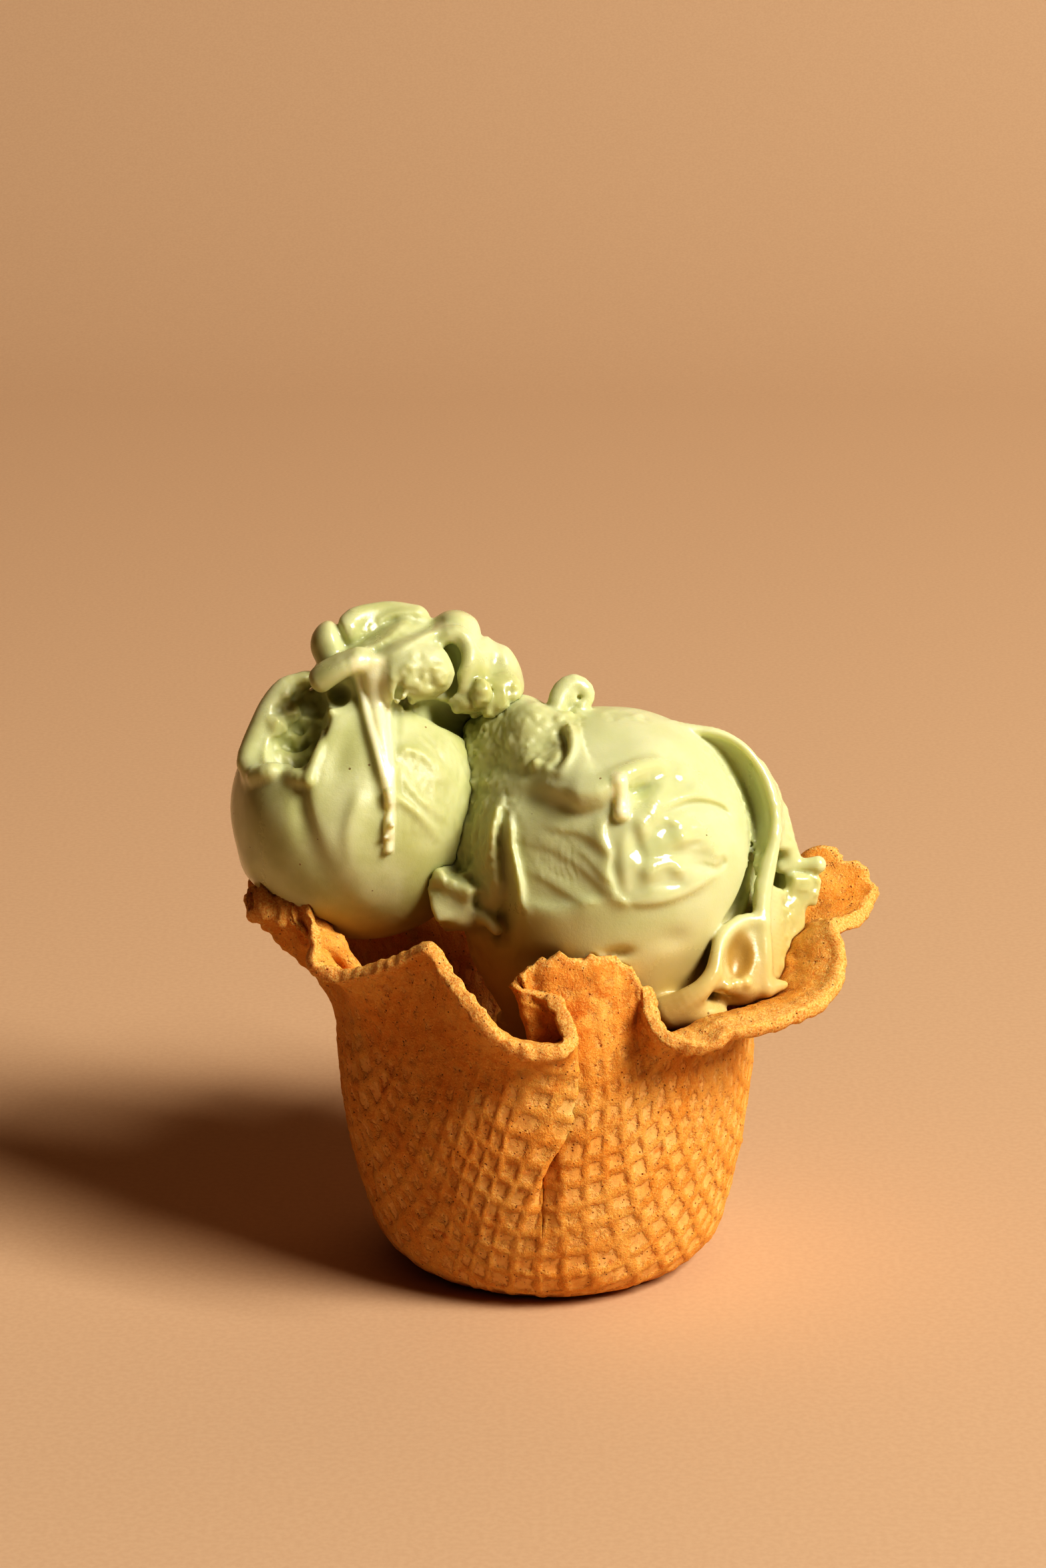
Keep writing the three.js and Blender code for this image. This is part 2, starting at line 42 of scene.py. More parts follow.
# ---- waffle cup ----------------------------------------------------------------------------
# One round sheet of waffle, baked between ribbed plates and pressed into a deep mould while
# hot. Its wall takes up the spare sheet in five pressed laps, and its thin brittle rim flares
# out in ruffles and one curl at the front. Sizes are in millimetres.
MM = 0.001
WAFER = 2.4                   # thickness
BASE_RADIUS = 23.2
CORNER_RADIUS = 12.1
WALL_LEAN = 17                # degrees that the wall leans out above its corner
UPRIGHT_HEIGHT = 48           # the wall has come upright here
WAIST_HEIGHT = 50             # the lip starts here
WALL_SHIFT = -0.8             # to the right, of the waist from the base

# Pleats: centre on the wall in degrees (0 is the front, positive to the right), overlap, and
# the side that laps over: 1 the left panel, -1 the right one.
PLEATS = [(2.5, 3.2, 1), (-62, 2.6, -1), (86, 2.6, 1), (152, 2.8, -1), (218, 2.8, 1)]
PLEAT_HALF_ANGLE = 10
PLEAT_TURN_RADIUS = 0.95      # of the wafer's middle, where it turns back
PLEAT_WAFER = 1.5             # thickness in the lap
FLAP_PROUD = 0.7              # the upper layer stands out so far
PLEAT_CORE_SHARE = 0.35
PLEAT_TURN_SHARE = 0.36
PLEAT_STEPS = 72
PLEAT_RISE, PLEAT_RISE_POWER = (0.12, 0.85), 1.2     # how the laps set in up the wall
PLEAT_LEAN = 9                # degrees that the front pleat's foot stands further left
LEAN_REACH = (8, 40)          # degrees from the pleat at which the lean fades out

# Turning points of the rim: angle on the wall, angle of the rim, its radius and height, and
# how far the lip crests above it before it droops.
RIM_TURNS = [
    # left ruffles, from behind to the front-left valley
    (-108, -106.5, 62.5, 72.0, 0),
    (-99, -98, 52.5, 75.4, 0),
    (-91, -92.5, 55.5, 79.8, -3),
    (-83, -85.5, 60.4, 78.0, -4),
    (-76, -79.5, 56.4, 79.2, -3),
    (-70, -74.5, 50.2, 79.0, 0),
    (-64, -66.6, 50.2, 74.6, 2.5),
    (-57, -60.0, 52.5, 68.6, 3.5),
    (-50, -52.0, 48.6, 69.0, 0),
    # front-left panel, its peak and the lip that sinks to the front
    (-40, -40.5, 46.8, 73.4, 0),
    (-30, -30.0, 46.0, 77.6, 0),
    (-24, -23.5, 47.6, 73.2, 0.5),
    (-19, -18.5, 49.4, 69.4, 1.5),
    (-13, -11.8, 51.0, 63.2, 2.5),
    (-8, -5.2, 51.4, 60.5, 2.5),
    # front curl: the lip turns in, runs back to the left and turns again
    (-4, 1.0, 51.0, 60.5, 1.5),
    (-2, 4.6, 48.6, 62.2, 0.5),
    (-0.5, 3.6, 45.0, 64.3, 0),
    (1, 1.0, 40.5, 67.4, 0),
    (2.5, -4.2, 37.4, 67.8, 0),
    (4, -10.0, 35.9, 68.8, 0),
    (6, -5.6, 33.6, 70.6, 0),
    # raised fan behind the curl
    (8, 0.3, 33.4, 73.4, 0),
    (11, 8.7, 34.0, 72.4, 0),
    (15, 16.0, 33.8, 73.2, 0),
    (20, 25.5, 34.8, 70.8, 0),
    (24, 28.0, 38.5, 67.2, 0),
    (27, 26.2, 43.5, 64.4, 0),
    # front-right lip, which droops, and the corner at the right
    (30, 27.2, 49.4, 60.6, 1),
    (35, 32.2, 52.0, 58.8, 3.5),
    (41, 39.5, 55.2, 61.0, 3.5),
    (49, 49.0, 58.0, 61.8, 3),
    (57, 58.5, 60.4, 63.0, 2),
    (63, 64.0, 61.2, 64.8, 0),
    (69, 70.0, 60.8, 69.2, 0),
    (74, 74.0, 58.0, 73.2, 0),
    # right ruffle: an inner wall, then the flap that stands out behind it
    (82, 83.0, 54.0, 71.0, 0),
    (90, 93.0, 57.0, 67.6, 0),
    (97, 102.0, 65.0, 67.2, 0),
    (104, 107.0, 68.6, 70.2, 0),
    (112, 113.5, 62.0, 75.6, 0),
]
BACK_FROM, BACK_TO, BACK_COUNT = 121, 244, 18
BACK_RADIUS, BACK_SWAY, BACK_HEIGHT, BACK_RISE, BACK_WAVES = 53, 4.5, 70, 4, 3.5

COLUMN_SPACING = 0.66
CORNER_ROWS = 24
WALL_ROWS = 62
LIP_ROWS = 36
EDGE_ROWS = 4
TORN_ROWS = 12                # rows below the edge that a tear moves
INNER_SHARE = 0.4             # the inner face has this share of the outer face's rows
FLOOR_RINGS = [0.85, 0.65, 0.45, 0.28, 0.14, 0.05, 0.012]

# The rim rolls over itself at the left: a bulge on its outer side.
ROLL_MIDDLE, ROLL_REACH = -78, 16
ROLL_HEIGHT, ROLL_PLACE, ROLL_WIDTH = 2.8, 3.6, 3.0

# Where the rim is torn most: angle round the cup, and how far to each side.
RAGGED_AT = [(-88, 18), (16, 12), (108, 14), (160, 25), (-150, 30)]
LIP_BEND_OUT, LIP_BEND_UP, LIP_UPRIGHT = 0.3, 0.72, 0.6
BEND_LIMIT = 0.85             # half the wafer stays below this share of a bend's radius

GRID_PITCH = 5.3              # the plates' square grid
GRID_TURN = 5                 # degrees from the front to one of its lines
RIDGE_HALF = 0.8              # half the width of a ridge between cells
CELL_DEPTH = 0.42
INNER_CELL_DEPTH = 0.6 * CELL_DEPTH
CELLS_FADE = (44, 58)         # heights between which the cells get shallower
CRUMBLY_REACH = 3.2           # the torn edge has no cells this far down

HASH_PRIMES = np.array([73856093, 19349663, 83492791])
HASH_MIXER = 1274126177


def ramp(x, low, high):
    """0 below low and 1 above high, with a soft rise between them."""
    t = np.clip((np.asarray(x, float) - low) / (high - low), 0, 1)
    return t * t * (3 - 2 * t)


def jitter(n):
    """A repeatable number in -1..1 for each whole number."""
    s = np.sin(n * 127.1 + 311.7) * 43758.5453
    return 2 * (s - np.floor(s)) - 1


def noise(points, size, seed):
    """Smooth repeatable noise in -1..1 at points (n, 3), with features of about that size."""
    places = points / size + 17.31 * seed
    corner = np.floor(places).astype(np.int64)
    f = places - corner
    f = f * f * (3 - 2 * f)
    total = np.zeros(len(points))
    for step in np.ndindex(2, 2, 2):
        x, y, z = ((corner + step) * HASH_PRIMES).T
        n = x ^ y ^ z
        n = (n ^ (n >> 13)) * HASH_MIXER & 0x7FFFFFFF
        n = (n ^ (n >> 16)) & 0xFFFF
        weight = np.abs(1 - np.array(step) - f)
        total += weight[:, 0] * weight[:, 1] * weight[:, 2] * (n / 32767.5 - 1)
    return total


def unit(vectors):
    return vectors / np.linalg.norm(vectors, axis=-1, keepdims=True)


def wall_profile(v):
    """Radius and height of the wall's middle for v from -1 (underside) through 0 to 1 (waist)."""
    corner_end = np.radians(90 - WALL_LEAN)
    bend = corner_end * min(v + 1, 1)
    radius = BASE_RADIUS + CORNER_RADIUS * np.sin(bend)
    height = WAFER / 2 + CORNER_RADIUS * (1 - np.cos(bend))
    if v <= 0:
        return radius, height
    z = height + (WAIST_HEIGHT - height) * v
    u = np.clip((z - height) / (UPRIGHT_HEIGHT - height), 0, 1)
    slope = np.tan(np.radians(WALL_LEAN))
    return radius + slope * (UPRIGHT_HEIGHT - height) * (u - u * u / 2), z


def pleat_section(pleat, q, strength, wall_radius):
    """Distance along the wall and outward from it, at shares q (-1..1) of the pleat's width."""
    _, overlap, side = pleat
    half_width = np.radians(PLEAT_HALF_ANGLE) * wall_radius
    back_share = 1 - 2 * PLEAT_TURN_SHARE
    open_width = 2 * half_width * PLEAT_CORE_SHARE * (1 - strength) ** 3
    turn_length = PLEAT_TURN_SHARE * open_width + np.pi * PLEAT_TURN_RADIUS * strength
    back_length = back_share * open_width + 2 * overlap * strength ** 3

    # the core, walked in small steps: a turn back, a run under the flap, and a turn onward
    u = (np.arange(PLEAT_STEPS) + 0.5) / PLEAT_STEPS
    away_from_ends = np.minimum(ramp(u, 0, PLEAT_TURN_SHARE), 1 - ramp(u, 1 - PLEAT_TURN_SHARE, 1))
    swing = np.pi * strength * away_from_ends
    turning = (u < PLEAT_TURN_SHARE) | (u > 1 - PLEAT_TURN_SHARE)
    length = np.where(turning, turn_length / PLEAT_TURN_SHARE, back_length / back_share) / PLEAT_STEPS
    core_w = np.concatenate([[0], np.cumsum(length * np.cos(swing))])
    core_n = np.concatenate([[0], -np.cumsum(length * np.sin(swing))])

    # the straight runs before and after it
    straight = (2 * half_width - core_w[-1]) / 2
    proud = FLAP_PROUD * strength
    along = q * side
    place = (along + PLEAT_CORE_SHARE) / (2 * PLEAT_CORE_SHARE) * PLEAT_STEPS
    steps = np.arange(PLEAT_STEPS + 1)
    w = np.interp(place, steps, core_w) + straight - half_width
    n = np.interp(place, steps, core_n) + proud
    before = along < -PLEAT_CORE_SHARE
    w = np.where(before, -half_width + straight * (along + 1) / (1 - PLEAT_CORE_SHARE), w)
    n = np.where(before, proud * ramp(along, -1, -PLEAT_CORE_SHARE), n)
    after = along > PLEAT_CORE_SHARE
    w_after = half_width - straight * (1 - along) / (1 - PLEAT_CORE_SHARE)
    w = np.where(after, w_after, w)
    n = np.where(after, (core_n[-1] + proud) * (1 - ramp(w_after, -overlap, half_width)), n)
    return w * side, n


def polar(angle, radius, z):
    """Points at angles in degrees from the front, positive to the right."""
    angle = np.radians(angle)
    return np.stack([radius * np.sin(angle), -radius * np.cos(angle), z + 0 * angle], axis=-1)


def wall_ring(angles, v):
    """The wall's middle all round at v, with the laps pressed into it."""
    radius, z = wall_profile(v)
    turned = np.array(angles, float)
    out = np.full(len(turned), radius)
    strength = float(ramp(v, *PLEAT_RISE)) ** PLEAT_RISE_POWER
    for pleat in PLEATS:
        inside = np.abs(angles - pleat[0]) < PLEAT_HALF_ANGLE
        w, n = pleat_section(pleat, (angles[inside] - pleat[0]) / PLEAT_HALF_ANGLE, strength, radius)
        turned[inside] = pleat[0] + np.degrees(w / radius)
        out[inside] = radius + n
    near_front = 1 - ramp(np.abs(angles - PLEATS[0][0]), *LEAN_REACH)
    lean = PLEAT_LEAN * (1 - np.clip(v, 0, 1)) * near_front
    ring = polar(turned - lean, out, z)
    ring[:, 0] += WALL_SHIFT * float(ramp(v, -0.5, 1))
    return ring


def closed_curve(points, places):
    """A centripetal Catmull-Rom curve through closed points, at places in 0..len(points)."""
    count = len(points)
    k = np.floor(places).astype(int) % count
    f = (places - np.floor(places))[:, None]
    p0, p1, p2, p3 = (points[(k + j) % count] for j in (-1, 0, 1, 2))
    chords = (p1 - p0, p2 - p1, p3 - p2)
    d0, d1, d2 = (np.linalg.norm(chord, axis=1)[:, None] ** 0.5 for chord in chords)
    t1 = ((p1 - p0) / d0 - (p2 - p0) / (d0 + d1) + (p2 - p1) / d1) * d1
    t2 = ((p2 - p1) / d1 - (p3 - p1) / (d1 + d2) + (p3 - p2) / d2) * d1
    return (p1 + t1 * f + (-3 * p1 + 3 * p2 - 2 * t1 - t2) * f ** 2
            + (2 * p1 - 2 * p2 + t1 + t2) * f ** 3)


def rim_turns():
    """The turning points of the whole rim, with a run of plain ruffles at the back."""
    n = np.arange(BACK_COUNT)
    share = n / (BACK_COUNT - 1)
    angle = BACK_FROM + (BACK_TO - BACK_FROM) * share
    wave = np.cos(2 * np.pi * BACK_WAVES * share)
    back = np.stack([angle, angle + 2 * jitter(n + 3), BACK_RADIUS - BACK_SWAY * wave,
                     BACK_HEIGHT - BACK_RISE * wave + jitter(n), 0 * angle], axis=1)
    return np.concatenate([np.array(RIM_TURNS, float), back])


def cup_columns():
    """For each column: its angle on the wall, its rim point and its crest."""
    turns = rim_turns()
    count = len(turns)
    rim = polar(turns[:, 1], turns[:, 2], turns[:, 3])
    angles = np.append(turns[:, 0], turns[0, 0] + 360)
    crests = np.append(turns[:, 4], turns[0, 4])
    fine = np.linspace(0, count, count * 60 + 1)
    knots = np.arange(count + 1)
    waist = wall_ring(np.interp(fine, knots, angles), 1)
    edge = closed_curve(rim, fine)
    cost = np.maximum(np.linalg.norm(np.diff(waist, axis=0), axis=1),
                      np.linalg.norm(np.diff(edge, axis=0), axis=1))
    total = np.concatenate([[0], np.cumsum(cost)])
    pieces = int(total[-1] / COLUMN_SPACING)
    places = np.interp(np.arange(pieces) / pieces * total[-1], total, fine)
    return np.interp(places, knots, angles), closed_curve(rim, places), np.interp(places, knots, crests)


def lip_ring(waist, edge, crest, t):
    """The lip's middle all round, at t from 0 (waist) to 1 (edge): it rises, then bends out."""
    bend = waist + (edge - waist) * LIP_BEND_OUT
    bend[:, 2] = waist[:, 2] + (edge[:, 2] - waist[:, 2]) * LIP_BEND_UP + 2 * crest
    near_waist = waist + (bend - waist) * 2 / 3
    upright = waist.copy()
    upright[:, 2] += np.linalg.norm(near_waist - waist, axis=1)
    near_waist = near_waist + (upright - near_waist) * LIP_UPRIGHT
    near_edge = edge + (bend - edge) * 2 / 3
    s = 1 - t
    return s ** 3 * waist + 3 * s * s * t * near_waist + 3 * s * t * t * near_edge + t ** 3 * edge


def cell_mask(u, v):
    """1 in the middle of a waffle cell, 0 on the ridges between the cells."""
    du = np.abs(u / GRID_PITCH - np.round(u / GRID_PITCH)) * GRID_PITCH
    dv = np.abs(v / GRID_PITCH - np.round(v / GRID_PITCH)) * GRID_PITCH
    return ramp(np.minimum(du, dv), RIDGE_HALF * 0.25, RIDGE_HALF * 2.1)


def mesh_object(name, points, faces, attributes=None):
    """A smooth-shaded object from points in millimetres and quads, flipped to face out.
    A quad whose last two corners are the same is a triangle."""
    loops = np.asarray(faces, np.int32)
    corners = points[loops]
    volume = (corners[:, 0] * np.cross(corners[:, 1], corners[:, 2])).sum()
    volume += (corners[:, 0] * np.cross(corners[:, 2], corners[:, 3])).sum()
    if volume < 0:
        loops = loops[:, ::-1]
    triangle = loops[:, 2] == loops[:, 3]
    sizes = np.where(triangle, 3, 4)
    keep = np.ones(loops.shape, bool)
    keep[triangle, 3] = False
    flat = loops[keep]
    mesh = bpy.data.meshes.new(name)
    mesh.vertices.add(len(points))
    mesh.vertices.foreach_set("co", (points * MM).astype(np.float32).ravel())
    mesh.loops.add(len(flat))
    mesh.loops.foreach_set("vertex_index", flat)
    mesh.polygons.add(len(loops))
    mesh.polygons.foreach_set("loop_start", np.append(0, np.cumsum(sizes)[:-1]).astype(np.int32))
    mesh.polygons.foreach_set("use_smooth", np.ones(len(loops), bool))
    mesh.update(calc_edges=True)
    mesh.validate()
    for key, values in (attributes or {}).items():
        layer = mesh.attributes.new(key, "FLOAT", "POINT")
        layer.data.foreach_set("value", np.asarray(values, np.float32))
    piece = bpy.data.objects.new(name, mesh)
    bpy.context.collection.objects.link(piece)
    return piece


def build_cup():
    """Points, faces and marks of the cup: a middle sheet in rows, thickened to both sides."""
    angles, edge, crest = cup_columns()
    count = len(angles)
    around = (angles + 180) % 360 - 180
    wall_shares = np.append(np.linspace(-1, 0, CORNER_ROWS), np.linspace(0, 1, WALL_ROWS + 1)[1:])
    lip_shares = np.linspace(0, 1, LIP_ROWS + 1)[1:]
    rows = [wall_ring(angles, v) for v in wall_shares]
    rows += [lip_ring(rows[-1], edge, crest, t) for t in lip_shares]
    grid = np.stack(rows, axis=1)
    total = len(rows)
    toward_rim = np.append(0 * wall_shares, ramp(lip_shares, 0.2, 0.8))

    # tears shorten or lengthen the sheet close to its edge
    ragged = 0.5 + 0 * around
    for middle, reach in RAGGED_AT:
        ragged = np.maximum(ragged, 1.5 - ramp(np.abs(around - middle), reach * 0.6, reach * 1.3))
    raggeder = np.clip(ragged[:, None] - 0.5, 0, 1)
    tip = (1 - ramp(np.abs(around - ROLL_MIDDLE), ROLL_REACH * 0.6, ROLL_REACH))[:, None]
    last = grid[:, -1]
    onward = unit(last - grid[:, -4])
    tear = ragged * (0.8 * noise(last, 3.6, 1) + 0.7 * noise(last, 1.4, 2))
    tear = (tear + 0.4 * noise(last, 6, 21)) * (1 + 0.9 * tip[:, 0])
    near_edge = ramp(np.arange(total), total - TORN_ROWS, total - 1)
    grid += (onward * tear[:, None])[:, None] * near_edge[None, :, None]
    across = np.roll(grid, -1, axis=0) - np.roll(grid, 1, axis=0)
    normal = unit(np.cross(across, np.gradient(grid, axis=1)))
    normal[:, 0] = (0, 0, -1)

    # half the wafer's thickness, thinner in the laps, and less where a bend is tight
    squeeze = np.append(ramp(wall_shares, 0, 0.6), 1 - ramp(lip_shares, 0, 1))
    to_pleat = np.min([np.abs(angles - pleat[0]) for pleat in PLEATS], axis=0) / PLEAT_HALF_ANGLE
    thin = (1 - ramp(to_pleat, PLEAT_CORE_SHARE, 2 * PLEAT_CORE_SHARE))[:, None] * squeeze
    half = (WAFER + (PLEAT_WAFER - WAFER) * thin) / 2
    half = half * (1 + (0.3 + 0.15 * raggeder) * toward_rim)
    turn = np.roll(normal, -1, axis=0) - np.roll(normal, 1, axis=0)
    curvature = (turn * across).sum(axis=2) / (across ** 2).sum(axis=2)
    limit = np.minimum(half, BEND_LIMIT / np.maximum(np.abs(curvature), 1e-6))
    outward = np.where(curvature < 0, limit, half)
    inward = np.where(curvature > 0, limit, half)

    # place on the flat sheet: distance from its middle, and the angle on it
    steps = np.linalg.norm(np.diff(grid, axis=1), axis=2)
    length = np.concatenate([np.zeros((count, 1)), np.cumsum(steps, axis=1)], axis=1)
    to_edge = length[:, -1:] - length
    sheet = BASE_RADIUS + length
    turned = np.radians(angles - GRID_TURN)[:, None]
    flat = grid.reshape(-1, 3)

    def rough(size, seed):
        return noise(flat, size, seed).reshape(sheet.shape)

    # the cells, with lines that wander, shallower in places and towards the lip
    u = sheet * np.cos(turned) + 0.9 * rough(8, 5) + 0.5 * rough(2.3, 15)
    v = sheet * np.sin(turned) + 0.9 * rough(8, 16) + 0.5 * rough(2.3, 17)
    cell = cell_mask(u, v) * (0.7 + 0.3 * ramp(rough(13, 18), -0.45, 0.4))
    cell *= 1 - 0.5 * ramp(grid[:, :, 2], *CELLS_FADE)
    calm = ramp(to_edge, 0, CRUMBLY_REACH)

    # crumple, grain and the roll, which move both faces
    crumple = 1 + (raggeder * 2.6 + 2.4 * tip) * toward_rim
    roll = ROLL_HEIGHT * np.exp(-((to_edge - ROLL_PLACE) / ROLL_WIDTH) ** 2)
    lumps = (0.22 * rough(8, 3) + 0.14 * rough(3.2, 4)) * crumple + roll * tip
    grain = 0.11 * rough(1.0, 6) + 0.16 * (1 - cell) * rough(1.5, 19)
    grain += 0.42 * (1 - calm) * rough(1.2, 7)
    grain += tip * toward_rim * (0.9 * rough(2.6, 23) + 0.9 * rough(1.2, 24))
    rest = ramp(grid[:, :, 2], WAFER / 2, WAFER / 2 + 2.5)
    rise = outward - CELL_DEPTH * cell * calm + (lumps + grain - 0.25) * rest
    outer = grid + normal * rise[..., None]
    outer[:, :, 2] = np.maximum(outer[:, :, 2], 0)

    # the inner face is pressed less deep and is streaked down the lip
    streak_places = [np.radians(around)[:, None] * 9 + 0 * to_edge, to_edge * 1.1, 0 * to_edge]
    streaks = noise(np.stack(streak_places, axis=2).reshape(-1, 3), 1.0, 22).reshape(sheet.shape)
    streaks = 0.3 * streaks * toward_rim
    sink = inward - INNER_CELL_DEPTH * cell * calm - 0.1 - lumps + grain + streaks
    inner = grid - normal * sink[..., None]

    # the broken edge between the two faces
    rim_up = unit(grid[:, -1] - grid[:, -2])
    edge_rows = []
    for share in np.arange(1, EDGE_ROWS + 1) / (EDGE_ROWS + 1):
        row = outer[:, -1] + (inner[:, -1] - outer[:, -1]) * share
        bulge = 0.35 * np.sin(np.pi * share)
        crumbs = ragged * (0.5 * noise(row, 1.3, 8) + 0.35 * noise(row, 0.7, 9))
        edge_rows.append(row + rim_up * (bulge + crumbs)[:, None])

    # all rings, from the middle of the underside up the outer face, over the edge and down the
    # inner face, whose rows are thinned out below the lip, to the middle of the floor
    lip_start = CORNER_ROWS + WALL_ROWS
    wall_keep = np.linspace(0, lip_start - 1, int(lip_start * INNER_SHARE)).astype(int)
    inner_rows = np.append(wall_keep, np.arange(lip_start, total))[::-1]
    middle_under = outer[:, 0].mean(axis=0)
    middle_floor = inner[:, 0].mean(axis=0)
    stack = [middle_under + (outer[:, 0] - middle_under) * share for share in FLOOR_RINGS[::-1]]
    stack += [outer[:, j] for j in range(total)] + edge_rows
    stack += [inner[:, j] for j in inner_rows]
    stack += [middle_floor + (inner[:, 0] - middle_floor) * share for share in FLOOR_RINGS]
    points = np.concatenate(stack + [np.stack([middle_under, middle_floor])])

    def mark(values, at_edge, under=0):
        """A value for each of the points, from one for each place on the sheet."""
        rings = [np.full(count, under)] * len(FLOOR_RINGS) + [values[:, j] for j in range(total)]
        rings += [at_edge] * EDGE_ROWS + [values[:, j] for j in inner_rows]
        rings += [np.zeros(count)] * len(FLOOR_RINGS)
        return np.append(np.concatenate(rings), [0, 0])

    # torn colour reaches far down at the left tip, and over a wide band of the front-right lip as painted
    # light
    torn_and_lit_reach = 2.4 + 7 * tip + 6 * (1 - ramp(np.abs(around - 50), 16, 34))[:, None]
    # painted shade at the fan behind the curl, under the right ball, where it is browner too; darker
    # towards the foot
    fan = 1 - ramp(np.abs(around - 17), 8, 14)
    fan_shade_and_foot_share = fan[:, None] * toward_rim + (1 - ramp(grid[:, :, 2], 0.5, 6)) * 0.8
    attributes = {
        "cell": mark(cell * calm, np.zeros(count)),
        "torn_and_lit": mark(1 - ramp(to_edge, 0, torn_and_lit_reach), np.ones(count)),
        "fan_shade_and_dark_foot": mark(fan_shade_and_foot_share, fan_shade_and_foot_share[:, -1], 1),
    }

    i = np.arange(count)
    j = (i + 1) % count
    starts = np.arange(len(stack))[:, None] * count
    ring, onto = starts[:-1], starts[1:]
    sides = np.stack([ring + i, ring + j, onto + j, onto + i], axis=2).reshape(-1, 4)
    under, top = len(stack) * count + np.zeros((2, count), int) + [[0], [1]]
    last = starts[-1]
    caps = [np.stack([j, i, under, under], axis=1), np.stack([last + i, last + j, top, top], axis=1)]
    return points, np.concatenate([sides, *caps]), attributes


cup_points, cup_faces, cup_attributes = build_cup()
cup = mesh_object("waffle_cup_piece", cup_points, cup_faces, cup_attributes)
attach(cup, "root")
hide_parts("waffle_cup")


class Shader:
    """A material and short calls for its nodes."""

    def __init__(self, name):
        self.material = bpy.data.materials.new(name)
        self.material.use_nodes = True
        self.tree = self.material.node_tree
        self.surface = self.tree.nodes["Principled BSDF"]

    def node(self, kind, settings=None, **inputs):
        """A node with its inputs set, by name or by number where the name is _ and a number."""
        made = self.tree.nodes.new(kind)
        for key, value in (settings or {}).items():
            setattr(made, key, value)
        for key, value in inputs.items():
            self.put(made.inputs[int(key[1:]) if key[1:].isdigit() else key], value)
        return made

    def put(self, socket, value):
        if isinstance(value, bpy.types.NodeSocket):
            self.tree.links.new(value, socket)
        else:
            socket.default_value = value

    def attribute(self, name):
        return self.node("ShaderNodeAttribute", {"attribute_name": name}).outputs["Fac"]

    def place(self):
        return self.node("ShaderNodeTexCoord").outputs["Object"]

    def noise(self, size, detail, rough, warp=0):
        """Noise in 0..1 with features of about that size in millimetres."""
        made = self.node("ShaderNodeTexNoise", Vector=self.place(), Scale=1 / (size * MM),
                         Detail=detail, Roughness=rough, Distortion=warp)
        return made.outputs["Fac"]

    def spots(self, size):
        """Spots strewn about that far apart, with the distance to each and a colour for each."""
        made = self.node("ShaderNodeTexVoronoi", {"feature": "F1"}, Vector=self.place(),
                         Scale=1 / (size * MM), Randomness=1)
        return made.outputs["Distance"], made.outputs["Color"]

    def span(self, value, low, high, to_low=0, to_high=1):
        """A value that goes softly from to_low to to_high while another goes from low to high."""
        made = self.node("ShaderNodeMapRange", {"interpolation_type": "SMOOTHSTEP"},
                         _0=value, _1=low, _2=high, _3=to_low, _4=to_high)
        return made.outputs["Result"]

    def math(self, operation, a, b):
        return self.node("ShaderNodeMath", {"operation": operation}, _0=a, _1=b).outputs[0]

    def plus(self, a, b):
        return self.math("ADD", a, b)

    def minus(self, a, b):
        return self.math("SUBTRACT", a, b)

    def times(self, a, b):
        return self.math("MULTIPLY", a, b)

    def mix(self, share, a, b):
        made = self.node("ShaderNodeMix", {"data_type": "RGBA"}, _0=share, _6=a, _7=b)
        return made.outputs["Result"]

    def bump(self, height, strength, depth):
        """Fine relief that deep in millimetres."""
        made = self.node("ShaderNodeBump", Strength=strength, Distance=depth * MM, Height=height)
        return made.outputs["Normal"]

    def cover(self, **inputs):
        """Sets inputs of the surface, with _ for each space in a name."""
        for key, value in inputs.items():
            self.put(self.surface.inputs[key.replace("_", " ")], value)


def srgb(red, green, blue):
    """A colour from 0..255 values as seen on a screen."""
    shares = [c / 255 for c in (red, green, blue)]
    linear = [c / 12.92 if c <= 0.04 else ((c + 0.055) / 1.055) ** 2.4 for c in shares]
    return (*linear, 1.0)


RIDGE_LIGHT, RIDGE_DEEP = srgb(240, 190, 112), srgb(232, 168, 84)
CELL_LIGHT, CELL_DEEP = srgb(242, 200, 138), srgb(238, 186, 114)
# browned wafer, also used for painted shade at the fan
BAKED_BROWN_AND_SHADE = srgb(212, 128, 46)
CRUMB_LIGHT, CRUMB_DARK = srgb(252, 222, 156), srgb(220, 138, 50)
TORN_DARK, TORN_LIGHT = srgb(230, 160, 76), srgb(252, 220, 154)
PORE_BROWN = srgb(120, 56, 18)


